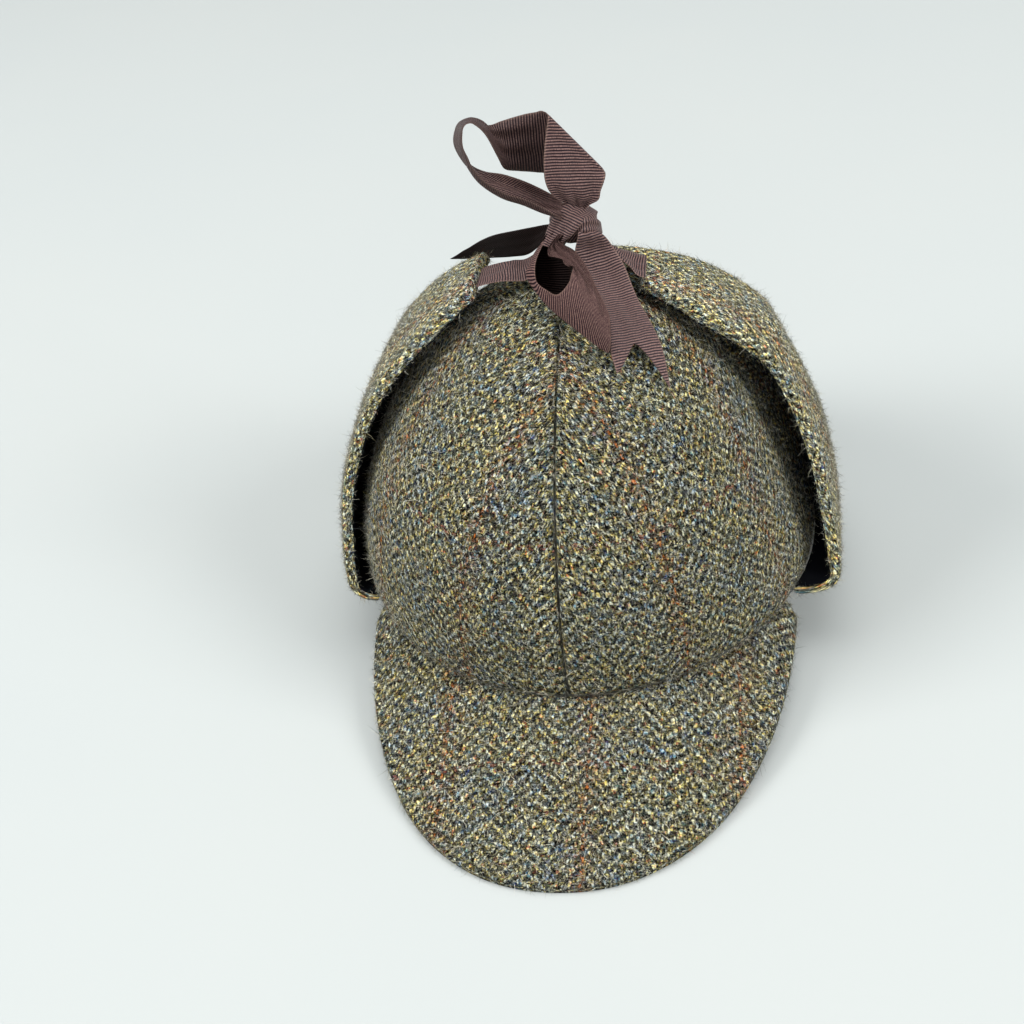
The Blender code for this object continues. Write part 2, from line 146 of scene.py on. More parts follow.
def add_item(name: str, data: bpy.types.ID) -> bpy.types.Object:
    """Puts a mesh, a lamp or a camera into the scene."""
    item = bpy.data.objects.new(name, data)
    bpy.context.scene.collection.objects.link(item)
    return item


def to_mesh(name: str, bm: bmesh.types.BMesh) -> bpy.types.Mesh:
    """Turns a bmesh into a mesh, and frees it."""
    mesh = bpy.data.meshes.new(name)
    bm.to_mesh(mesh)
    bm.free()
    return mesh


def finish_piece(name: str, bm: bmesh.types.BMesh) -> bpy.types.Object:
    """Turns a bmesh into a smooth piece with its faces outwards, each halved once by Subdivision Surface."""
    bmesh.ops.recalc_face_normals(bm, faces=bm.faces)
    if bm.calc_volume(signed=True) < 0.0:
        bmesh.ops.reverse_faces(bm, faces=bm.faces)
    mesh = to_mesh(name, bm)
    mesh.shade_smooth()
    piece = add_item(name, mesh)
    rounding = piece.modifiers.new("rounding", "SUBSURF")
    rounding.levels = 1
    rounding.render_levels = 1
    return piece


def read_array(items: Sequence, name: str, width: int = 1, kind: type = float) -> np.ndarray:
    """One attribute of all of a mesh's items, with a row of that width for each where it is over 1."""
    values = np.empty(len(items) * width, dtype=kind)
    items.foreach_get(name, values)
    return values.reshape(-1, width) if width > 1 else values


# Walls of cloth

# A face of the box belongs to one of its ends where its middle is past this, and the cloth's direction there
# is read from this share of the way out.
BOX_END = 0.99
JUST_INSIDE = 0.98


@dataclass(frozen=True)
class WallGrid:
    """How finely a wall is divided, and how its edges are rounded."""

    across: int
    along: int
    thickness: float
    crowd_across: float
    crowd_along: float
    round_across: float
    round_along: float
    edge_share: float


def cut_edges(bm: bmesh.types.BMesh, axis: int, segments: int) -> None:
    """Cuts every edge of a box that runs along one axis into equal segments.

    Args:
        bm: the box.
        axis: 0 or 1 for X or Y.
        segments: how many parts each such edge is cut into.
    """
    others = [i for i in range(3) if i != axis]
    along = []
    for edge in bm.edges:
        first, last = edge.verts
        if all(abs(first.co[i] - last.co[i]) < 1e-6 for i in others):
            along.append(edge)
    bmesh.ops.subdivide_edges(bm, edges=along, cuts=segments - 1, use_grid_fill=True)


def edge_round(place: float, run: float, share: float) -> float:
    """How much of its thickness a wall has near an edge.

    Args:
        place: from -1 to 1 across the wall.
        run: how far in from the edge the rounding goes, on the same scale.
        share: what is left of the thickness at the edge itself.

    Returns:
        1 over the wall's middle, falling as a rounded shoulder to the share at its edge.
    """
    inward = min((1.0 - abs(place)) / run, 1.0)
    return share + (1.0 - share) * math.sqrt(max(0.0, 1.0 - (1.0 - inward) ** 2))


def cloth_wall(name: str, grid: WallGrid, place: Place, spread: Spread) -> bpy.types.Object:
    """A closed wall of cloth, shaped from a box whose X runs across it, Y along it and Z through it.

    Args:
        name: the piece's name.
        grid: how finely it is divided.
        place: takes the box's coordinates from -1 to 1 and returns the point there.
        spread: takes the first two of them and returns the place on the flat cloth, in metres.

    Returns:
        The piece, with a UV map "cloth" in metres, and its inner faces marked in the attribute "lining".
    """
    bm = bmesh.new()
    bmesh.ops.create_cube(bm, size=2.0)
    cut_edges(bm, 0, grid.across)
    cut_edges(bm, 1, grid.along)
    cloth_map = bm.loops.layers.uv.new("cloth")
    inner_side = bm.faces.layers.int.new("inner_side")
    known: dict[tuple[float, float], Vector] = {}

    def crowded(u: float, v: float) -> tuple[float, float]:
        """A place on the box, moved so that its cuts crowd towards the wall's edges."""
        return crowd(u, grid.crowd_across), crowd(v, grid.crowd_along)

    def flat(u: float, v: float) -> Vector:
        """The place on the flat cloth, kept once it is known."""
        key = (round(u, 5), round(v, 5))
        if key not in known:
            known[key] = Vector(spread(*crowded(u, v)))
        return known[key]

    for face in bm.faces:
        middle = face.calc_center_median()
        face[inner_side] = int(middle.z < -BOX_END)
        on_side = abs(middle.x) > BOX_END
        for loop in face.loops:
            u, v, w = loop.vert.co
            spot = flat(u, v)
            if on_side or abs(middle.y) > BOX_END:
                inward = flat(u * JUST_INSIDE, v) if on_side else flat(u, v * JUST_INSIDE)
                spot = spot + (spot - inward).normalized() * (to_share(-w) * grid.thickness)
            loop[cloth_map].uv = spot
    for vert in bm.verts:
        u, v = crowded(*vert.co.xy)
        w = vert.co.z * edge_round(u, grid.round_across, grid.edge_share)
        vert.co = place(u, v, w * edge_round(v, grid.round_along, grid.edge_share))
    return finish_piece(name, bm)


class Held(Enum):
    """How a piece of cloth is held."""

    STRETCHED = "stretched"
    FOLDED = "folded"
    GATHERED = "gathered"
    HUNG = "hung"


def declare_cloth(piece: bpy.types.Object, held: Held) -> None:
    """Logs a piece's size as a sheet of cloth, as large as its flat map is and with its wall's own area.

    A gathered piece, whose folds lie on each other, is logged as wide as it shows.

    Args:
        piece: the cloth, a closed wall whose two faces are each as large as it.
        held: how it is held.
    """
    places = read_array(piece.data.uv_layers["cloth"].data, "uv", 2)
    width, length = (float(side) for side in np.ptp(places, axis=0))
    area = sum(polygon.area for polygon in piece.data.polygons) / 2.0
    if held is Held.GATHERED:
        width = area / length
    logging.info("%s is a sheet of %.0f by %.0f mm", piece.name, width / MM, length / MM)


# Shader nodes

# How much of each finer size a noise has.
NOISE_ROUGHNESS = 0.6


@dataclass(frozen=True)
class Colour:
    """A colour as it looks on a screen, each part from 0 to 255."""

    red: float
    green: float
    blue: float

    def linear(self) -> tuple[float, float, float, float]:
        """The colour as Blender's nodes want it."""
        parts = []
        for part in (self.red, self.green, self.blue):
            share = part / 255.0
            parts.append(share / 12.92 if share <= 0.04045 else ((share + 0.055) / 1.055) ** 2.4)
        return (*parts, 1.0)


def math_node(operation: str, swapped: bool = False) -> Callable[..., "Value"]:
    """A method that puts a value and another one, where there is one, through a Math node.

    Args:
        operation: what the node does.
        swapped: whether the other value comes first.

    Returns:
        The method.
    """

    def method(self: "Value", *others: object) -> "Value":
        """The node's result."""
        values = (*others, self) if swapped else (self, *others)
        return Value(self.sketch, self.sketch.add("ShaderNodeMath", *values, operation=operation).outputs[0])

    return method


@dataclass(frozen=True)
class Value:
    """A number that changes over a surface: a node's output, and the sketch that the node is in."""

    sketch: "NodeSketch"
    socket: bpy.types.NodeSocket

    __add__ = __radd__ = math_node("ADD")
    __mul__ = __rmul__ = math_node("MULTIPLY")
    __sub__ = math_node("SUBTRACT")
    __rsub__ = math_node("SUBTRACT", swapped=True)
    __truediv__ = math_node("DIVIDE")
    __mod__ = math_node("FLOORED_MODULO")
    __lt__ = math_node("LESS_THAN")
    __abs__ = math_node("ABSOLUTE")
    floor = math_node("FLOOR")
    fract = math_node("FRACT")
    larger = math_node("MAXIMUM")
    pingpong = math_node("PINGPONG")
    power = math_node("POWER")
    sine = math_node("SINE")
    sqrt = math_node("SQRT")

    def stretch(self, low: float, high: float, least: float = 0.0, most: float = 1.0) -> "Value":
        """The value between low and high spread out between least and most, and held there."""
        node = self.sketch.add("ShaderNodeMapRange", self, low, high, least, most, clamp=True)
        return Value(self.sketch, node.outputs[0])


@dataclass(frozen=True)
class NodeSketch:
    """Adds shader nodes to a tree and joins them up."""

    tree: bpy.types.NodeTree

    def feed(self, socket: bpy.types.NodeSocket, value: object) -> None:
        """Links a socket to a value or another output, or sets it to a colour or a plain number."""
        if isinstance(value, Value):
            value = value.socket
        if isinstance(value, bpy.types.NodeSocket):
            self.tree.links.new(value, socket)
        else:
            socket.default_value = value.linear() if isinstance(value, Colour) else value

    def fill(self, node: bpy.types.Node, values: dict[object, object]) -> bpy.types.Node:
        """Feeds some of a node's inputs, by name or number, and returns the node."""
        for key, value in values.items():
            self.feed(node.inputs[key], value)
        return node

    def add(self, kind: str, *values: object, **settings: object) -> bpy.types.Node:
        """Adds a node of a kind, with what feeds its first inputs, and its settings."""
        node = self.tree.nodes.new(kind)
        for name, setting in settings.items():
            setattr(node, name, setting)
        for socket, value in zip(node.inputs, values):
            self.feed(socket, value)
        return node

    def vector(self, operation: str, *values: object) -> bpy.types.NodeSocket:
        """The result of a Vector Math node."""
        return self.add("ShaderNodeVectorMath", *values, operation=operation).outputs[0]

    def scaled(self, vector: object, by: object) -> bpy.types.NodeSocket:
        """A vector or a colour times a number."""
        node = self.add("ShaderNodeVectorMath", vector, operation="SCALE")
        return self.fill(node, {"Scale": by}).outputs[0]

    def split(self, vector: object) -> list[Value]:
        """The X, Y and Z of a vector."""
        return [Value(self, part) for part in self.add("ShaderNodeSeparateXYZ", vector).outputs]

    def join(self, x: object, y: object, z: object = 0.0) -> bpy.types.NodeSocket:
        """A vector from its X, Y and Z."""
        return self.add("ShaderNodeCombineXYZ", x, y, z).outputs[0]

    def noise(self, vector: object, scale: float, detail: float = 2.0) -> tuple[Value, bpy.types.NodeSocket]:
        """A Noise Texture's value and colour."""
        node = self.add("ShaderNodeTexNoise", noise_dimensions="3D")
        look = {"Vector": vector, "Scale": scale, "Detail": detail, "Roughness": NOISE_ROUGHNESS}
        self.fill(node, look)
        return Value(self, node.outputs[0]), node.outputs[1]

    def blend(self, share: object, first: object, second: object, how: str = "MIX") -> bpy.types.NodeSocket:
        """A Mix node for colours, which has them in its inputs 6 and 7 and puts out its output 2."""
        node = self.add("ShaderNodeMix", data_type="RGBA", blend_type=how)
        return self.fill(node, {0: share, 6: first, 7: second}).outputs[2]

    def ramp(self, share: object, stops: Rows) -> bpy.types.NodeSocket:
        """A Color Ramp through a few colours, each given as its position, red, green and blue."""
        node = self.add("ShaderNodeValToRGB", share)
        elements = node.color_ramp.elements
        while len(elements) < len(stops):
            elements.new(0.5)
        for element, (position, *tone) in zip(elements, stops):
            element.position = position
            element.color = Colour(*tone).linear()
        return node.outputs[0]

    def bump(self, height: object, relief: float) -> bpy.types.NodeSocket:
        """The normal of a surface with a height, which is in units of the relief in metres."""
        node = self.add("ShaderNodeBump")
        return self.fill(node, {"Height": height, "Distance": relief, "Strength": 1.0}).outputs[0]


def new_group(name: str, inputs: dict[str, str], outputs: dict[str, str]) -> tuple:
    """A new shader node group.

    Args:
        name: the group's name.
        inputs: the names and socket kinds of its inputs.
        outputs: the same for its outputs.

    Returns:
        The tree, its sketch, its input node's outputs and its output node.
    """
    tree = bpy.data.node_groups.new(name, "ShaderNodeTree")
    for way, sockets in (("INPUT", inputs), ("OUTPUT", outputs)):
        for socket, kind in sockets.items():
            tree.interface.new_socket(name=socket, in_out=way, socket_type=kind)
    sketch = NodeSketch(tree)
    return tree, sketch, sketch.add("NodeGroupInput").outputs, sketch.add("NodeGroupOutput")


def new_material(name: str, roughness: float, shine: float) -> tuple:
    """Starts a material.

    Args:
        name: its name.
        roughness: how matt it is.
        shine: its specular level.

    Returns:
        The material, its sketch and its shader.
    """
    material = bpy.data.materials.new(name)
    material.use_nodes = True
    sketch = NodeSketch(material.node_tree)
    shader = material.node_tree.nodes["Principled BSDF"]
    sketch.fill(shader, {"Roughness": roughness, "Specular IOR Level": shine})
    return material, sketch, shader


VALUE = "NodeSocketFloat"
VECTOR = "NodeSocketVector"
COLOUR = "NodeSocketColor"

# Tweed: a 2/2 twill that turns round every few ends, in heathered yarns, with an overcheck.
YARN_PITCH = 1.12 * MM
COLUMN_ENDS = 8.0
TWILL_REPEAT = 4.0
WARP_FLOAT = 2.0
CHECK_ENDS = 46.0
CHECK_PICKS = 60.0

# Tones along a ramp: position, red, green, blue.
WARP_YARNS = (
    (0, 84, 80, 66), (0.18, 150, 142, 104), (0.34, 212, 206, 176), (0.48, 158, 164, 160),
    (0.6, 226, 222, 204), (0.74, 160, 174, 182), (0.88, 218, 212, 184), (1, 176, 156, 84),
)
WEFT_YARNS = (
    (0, 30, 32, 48), (0.2, 66, 78, 112), (0.36, 144, 134, 88), (0.5, 62, 92, 96),
    (0.64, 184, 178, 150), (0.8, 80, 82, 104), (1, 190, 188, 170),
)
HEATHER = (
    (0, 70, 84, 190), (0.12, 96, 170, 190), (0.24, 190, 206, 230), (0.4, 236, 240, 240),
    (0.56, 250, 246, 226), (0.7, 248, 230, 100), (0.8, 240, 232, 204), (0.9, 246, 140, 50),
    (1, 190, 112, 104),
)
RUST = Colour(156, 84, 26)
RED_BROWN = Colour(132, 64, 44)
CREAM = Colour(240, 234, 212)
OLIVE_PATCH = Colour(255, 248, 216)
NAVY_PATCH = Colour(206, 220, 242)

# How the yarns wander over the cloth: waves per yarn, and how many yarns they move it.
YARN_WANDER = ((0.2, 2.4), (0.9, 1.3))
# What is left of a float's height at its ends, and of a pick's beside an end's.
FLOAT_END = 0.3
WEFT_RISE = 0.75
# How many soft lumps there are to a yarn, for each thing that changes over the cloth in lumps.
DYE_LUMPS = 0.42
PATCH_LUMPS = 0.045
WEAR_LUMPS = 0.5
STAIN_LUMPS = 0.55
CURL_LUMPS = 0.7
STRAY_LUMPS = 0.75
PIT_LUMPS = 0.6
# The lumps' values between which each of those things comes in.
FULL_RANGE = (0.3, 0.7)
WARM_RANGE = (0.42, 0.62)
COOL_RANGE = (0.52, 0.34)
WORN_RANGE = (0.36, 0.5)
STAIN_RANGE = (0.5, 0.6)
# How strong each colour over the yarns' own is at most.
DYE_SHARE = 0.95
WARM_SHARE = 0.7
COOL_SHARE = 0.6
RUST_SHARE = 0.95
RED_SHARE = 0.7
STRAY_SHARE = 0.45
# Rust spots: from how many ends off the check to how many, and their share at the two.
STAIN_REACH = (1.0, 7.0, 0.6, 0.0)
# Loose wool that lies on the cloth: how wide, how light and how high it is.
STRAY_WIDTH = 0.018
STRAY_LIGHT = 0.8
STRAY_RISE = 0.35
# Painted shade in the hollows, from the height: how uneven it is, and the heights from the darkest to the
# lightest.
PIT_DEPTH = 2.7
HOLLOW_RANGE = (0.34, 0.84)
# Light from the streaks: their values from the darkest to the lightest, and the light at the two.
STREAK_LIGHT = (0.38, 0.62, 0.0, 2.4)
STREAK_RISE = 1.1
# How fast a yarn's colour changes from one yarn to the next, and along it.
YARN_STEP = 3.71
YARN_DRIFT = 0.6
# How the noise that stands for fibres is stretched: across the yarn, along it and by their curl.
FIBRE_ACROSS = 1.7
FIBRE_ALONG = 0.6
FIBRE_CURL = 3.0


def tweed_group() -> bpy.types.NodeTree:
    """The herringbone tweed, from a place on the flat cloth in metres.

    Returns:
        A group that puts out the cloth's colour, its wool's own colour and its height.
    """
    tree, sketch, given, out = new_group(
        "tweed_cloth",
        {"Cloth": VECTOR, "Lightness": VALUE, "Warmth": VALUE},
        {"Color": COLOUR, "Wool": COLOUR, "Height": VALUE},
    )
    in_yarns = sketch.scaled(given["Cloth"], 1.0 / YARN_PITCH)

    def lumps(scale: float, detail: float = 2.0) -> Value:
        """Soft lumps all over the cloth, so many to a yarn."""
        return sketch.noise(in_yarns, scale, detail)[0]

    moved = in_yarns
    for scale, distance in YARN_WANDER:
        off = sketch.vector("SUBTRACT", sketch.noise(in_yarns, scale)[1], (0.5, 0.5, 0.5))
        moved = sketch.vector("ADD", moved, sketch.scaled(off, distance))
    p, q, _ = sketch.split(moved)
    end, pick = p.floor(), q.floor()
    across_end, across_pick = p.fract(), q.fract()
    turned = (p / COLUMN_ENDS).floor() % 2.0
    sign = turned * -2.0 + 1.0
    twill = (end * sign + pick + turned) % TWILL_REPEAT
    warp_on_top = twill < WARP_FLOAT - 0.5
    weft_on_top = 1.0 - warp_on_top

    def on_top(warp: Value, weft: Value) -> Value:
        """The warp's value where an end lies on top, and the weft's elsewhere."""
        return warp * warp_on_top + weft * weft_on_top

    # Where the spot is along its float and across its yarn, each from 0 to 1.
    along_weft = twill + (across_end * sign + turned) - WARP_FLOAT
    along = on_top(twill + across_pick, along_weft) / WARP_FLOAT
    off_middle = on_top(across_end, across_pick) * 2.0 - 1.0
    yarn = (1.0 - off_middle * off_middle).sqrt()
    hump = (along * math.pi).sine().sqrt()
    height = yarn * (hump * (1.0 - FLOAT_END) + FLOAT_END) * (warp_on_top * (1.0 - WEFT_RISE) + WEFT_RISE)

    def yarn_colours(which: Value, way: Value, seed: float, tones: Rows) -> bpy.types.NodeSocket:
        """Each yarn's own run of colours."""
        spot = sketch.join(which * YARN_STEP, way * YARN_DRIFT, seed)
        return sketch.ramp(sketch.noise(spot, 1.0, 3.0)[0].stretch(*FULL_RANGE), tones)

    weft = yarn_colours(pick, p, 9.7, WEFT_YARNS)
    wool = sketch.blend(warp_on_top, weft, yarn_colours(end, q, 1.3, WARP_YARNS))

    # Heather: small clumps of dyed wool, and broad patches of warmer and cooler cloth.
    tint = sketch.ramp(lumps(DYE_LUMPS).stretch(*FULL_RANGE), HEATHER)
    wool = sketch.blend(DYE_SHARE, wool, tint, "MULTIPLY")
    broad = lumps(PATCH_LUMPS)
    warm = broad.stretch(*WARM_RANGE) + given["Warmth"]
    wool = sketch.blend(warm * WARM_SHARE, wool, OLIVE_PATCH, "MULTIPLY")
    wool = sketch.blend(broad.stretch(*COOL_RANGE) * COOL_SHARE, wool, NAVY_PATCH, "MULTIPLY")

    # The overcheck: one rust end with some rust spots near it, and two red-brown picks that show less.
    worn = lumps(WEAR_LUMPS, 1.0).stretch(*WORN_RANGE)
    checked = (end % CHECK_ENDS < 0.5) * warp_on_top * worn * RUST_SHARE
    off_check = end.pingpong(CHECK_ENDS / 2.0)
    stained = lumps(STAIN_LUMPS).stretch(*STAIN_RANGE) * off_check.stretch(*STAIN_REACH)
    wool = sketch.blend(checked.larger(stained), wool, RUST)
    crossed = (pick % CHECK_PICKS < 1.5) * weft_on_top * worn
    wool = sketch.blend(crossed * RED_SHARE, wool, RED_BROWN)

    # Fibres: streaks that lie along each yarn with its twist, over hollows painted dark as shade.
    curl = lumps(CURL_LUMPS, 1.0) * FIBRE_CURL

    def streaks(across: Value, way: Value, twist: float, seed: float) -> Value:
        """The streaks on the yarns that run one way."""
        side = way * twist + (across * FIBRE_ACROSS + curl)
        return sketch.noise(sketch.join(side, way * FIBRE_ALONG, seed), 1.0, 3.0)[0]

    streak = on_top(streaks(p, q, FIBRE_ALONG, 0.0), streaks(q, p, -FIBRE_ALONG, 5.0))
    stray = abs(lumps(STRAY_LUMPS, 3.0) - 0.5).stretch(0.0, STRAY_WIDTH, 1.0, 0.0)
    # Painted shade: the yarns' low parts and random pits are darkened, and the streaks paint light and shade
    # along the fibres.
    depth = ((lumps(PIT_LUMPS) - 0.5) * PIT_DEPTH + height).stretch(*HOLLOW_RANGE)
    lit = (depth * streak.stretch(*STREAK_LIGHT)).larger(stray * STRAY_LIGHT)
    colour = sketch.scaled(sketch.blend(stray * STRAY_SHARE, wool, CREAM), lit * given["Lightness"])
    fibres = stray * STRAY_RISE + streak * STREAK_RISE
    sketch.fill(out, {"Color": colour, "Wool": wool, "Height": height + fibres})
    return tree


# Grosgrain: close cross ribs between two woven edges.
RIB_PITCH = 1.0 * MM
RIB_DRIFT = 9.0 * MM
RIBBON_WIDTH = 24.0 * MM
SELVAGE = 0.9 * MM
RIB_WANDER = 0.8
# Threads to the metre: across the ribbon, and how often they change along it.
THREADS = (5200.0, 700.0)
# The threads' values from the darkest to the lightest, the light at the two, and how far they stand out.
THREAD_LIGHT = (0.25, 0.75, 0.6, 1.1)
THREAD_RISE = 0.25
EDGE_SHARE = 0.6
# Tones along the ribs' profile: the troughs between the ribs are painted near-black, as shade.
RIB_TONES = (
    (0, 4, 3, 12), (0.3, 26, 18, 27), (0.65, 78, 57, 57), (1, 142, 113, 104),
)
EDGE_TONE = Colour(130, 104, 94)


def grosgrain_group() -> bpy.types.NodeTree:
    """The ribbed ribbon, from a place on the flat ribbon in metres, measured from its middle.

    Returns:
        A group that puts out the ribbon's colour and height.
    """
    tree, sketch, given, out = new_group(
        "grosgrain", {"Ribbon": VECTOR}, {"Color": COLOUR, "Height": VALUE}
    )
    s, t, _ = sketch.split(given["Ribbon"])
    drift = sketch.noise(given["Ribbon"], 1.0 / RIB_DRIFT, 1.0)[0]
    off_rib = (t / RIB_PITCH + drift * RIB_WANDER).fract() * 2.0 - 1.0
    rib = (1.0 - off_rib * off_rib).sqrt()
    thread = sketch.noise(sketch.join(s * THREADS[0], t * THREADS[1]), 1.0)[0]
    edge = abs(s).stretch(RIBBON_WIDTH / 2.0 - SELVAGE, RIBBON_WIDTH / 2.0)
    # Painted shade: each rib darkens towards its troughs, with the threads' own unevenness over it.
    tone = rib * (rib * thread.stretch(*THREAD_LIGHT))
    colour = sketch.blend(edge * EDGE_SHARE, sketch.ramp(tone, RIB_TONES), EDGE_TONE)
    sketch.fill(out, {"Color": colour, "Height": thread * THREAD_RISE + rib})
    return tree


@dataclass(frozen=True)
class TweedFinish:
    """The tweed's finish on one piece, and its loose fibres' finish."""

    name: str
    lightness: float = 0.73
    warmth: float = 0.0
    shift: tuple[float, float] = (0.0, 0.0)
    roughness: float = 0.95
    shine: float = 0.04
    relief: float = 0.5 * MM
    sheen: float = 0.02
    sheen_roughness: float = 0.6
    sheen_tint: tuple = (0.9, 0.88, 0.8, 1.0)
    # The fibres' light beside the wool's: the least, what is added to it at most, how rare that is, and a
    # share of it all.
    fibre_dark: float = 0.2
    fibre_light: float = 1.6
    fibre_power: float = 1.8
    fibre_share: float = 0.55
    fibre_sheen: float = 0.3
    fibre_sheen_roughness: float = 0.5
    cream_share: float = 0.25

    def start(self, name: str, group: bpy.types.NodeTree) -> tuple:
        """Starts a material that reads the piece's "cloth" map.

        Args:
            name: its name.
            group: the tweed's node group.

        Returns:
            The material, its sketch, its shader, the cloth group's outputs and the place on the flat cloth.
        """
        material, sketch, shader = new_material(name, self.roughness, self.shine)
        places = sketch.add("ShaderNodeUVMap", uv_map="cloth").outputs[0]
        spot = sketch.vector("ADD", places, (*self.shift, 0.0))
        cloth = sketch.add("ShaderNodeGroup", spot, self.lightness, self.warmth, node_tree=group)
        return material, sketch, shader, cloth.outputs, places

    def material(self, group: bpy.types.NodeTree) -> bpy.types.Material:
        """Makes the cloth's material from the tweed's node group."""
        material, sketch, shader, cloth, _ = self.start(self.name, group)
        look = {
            "Base Color": cloth["Color"],
            "Normal": sketch.bump(cloth["Height"], self.relief),
            "Sheen Weight": self.sheen,
            "Sheen Roughness": self.sheen_roughness,
            "Sheen Tint": self.sheen_tint,
        }
        sketch.fill(shader, look)
        return material

    def fibres(self, group: bpy.types.NodeTree) -> bpy.types.Material:
        """Makes the loose fibres' material, which takes each one's colour from the cloth at its root."""
        material, sketch, shader, cloth, places = self.start(self.name + "_fibres", group)
        pick = sketch.add("ShaderNodeTexWhiteNoise", places, noise_dimensions="3D")
        chance = Value(sketch, pick.outputs["Value"])
        cream = chance.stretch(1.0 - self.cream_share, 1.01 - self.cream_share)
        wool = sketch.blend(cream, cloth["Wool"], CREAM)
        tone = chance.power(self.fibre_power) * (self.fibre_light * self.fibre_share)
        tone = tone + self.fibre_dark * self.fibre_share
        look = {
            "Base Color": sketch.scaled(wool, tone),
            "Sheen Weight": self.fibre_sheen,
            "Sheen Roughness": self.fibre_sheen_roughness,
        }
        sketch.fill(shader, look)
        return material


@dataclass(frozen=True)
class FlapShadeFinish:
    """The near-black inner face of an ear flap, painted shade for the shade in the gap between flap and
    crown.
    """

    name: str = "flap_inner_painted_shade"
    light: Colour = Colour(6, 7, 11)
    dark: Colour = Colour(5, 6, 9)

    def material(self) -> bpy.types.Material:
        """Makes the material."""
        material, sketch, shader = new_material(self.name, 0.95, 0.05)
        places = sketch.add("ShaderNodeUVMap", uv_map="cloth").outputs[0]
        grain = sketch.noise(places, 1.0 / YARN_PITCH)[0]
        sketch.fill(shader, {"Base Color": sketch.blend(grain, self.light, self.dark)})
        return material


@dataclass(frozen=True)
class RibbonFinish:
    """The grosgrain's finish, with how light its reverse is beside its face: the reverse is painted darker,
    as shade.
    """

    name: str
    shaded_reverse: float = 1.0
    relief: float = 0.35 * MM
    roughness: float = 0.45
    shine: float = 0.25

    def material(self, group: bpy.types.NodeTree) -> bpy.types.Material:
        """Makes the material, which reads the piece's "cloth" map, from the grosgrain's node group."""
        material, sketch, shader = new_material(self.name, self.roughness, self.shine * self.shaded_reverse)
        places = sketch.add("ShaderNodeUVMap", uv_map="cloth").outputs[0]
        ribbon = sketch.add("ShaderNodeGroup", places, node_tree=group).outputs
        facing = Value(sketch, sketch.add("ShaderNodeAttribute", attribute_name="inner_side").outputs["Fac"])
        # Painted shade: the reverse takes only that share of the ribbon's colour.
        tone = facing.stretch(0.0, 1.0, self.shaded_reverse, 1.0)
        look = {
            "Base Color": sketch.scaled(ribbon["Color"], tone),
            "Normal": sketch.bump(ribbon["Height"], self.relief),
        }
        sketch.fill(shader, look)
        return material


@dataclass(frozen=True)
class Wardrobe:
    """The node groups and the material that the pieces' finishes share."""

    tweed: bpy.types.NodeTree
    grosgrain: bpy.types.NodeTree
    # The near-black material on the flaps' inner faces: painted shade.
    inner_side: bpy.types.Material


# Loose fibres


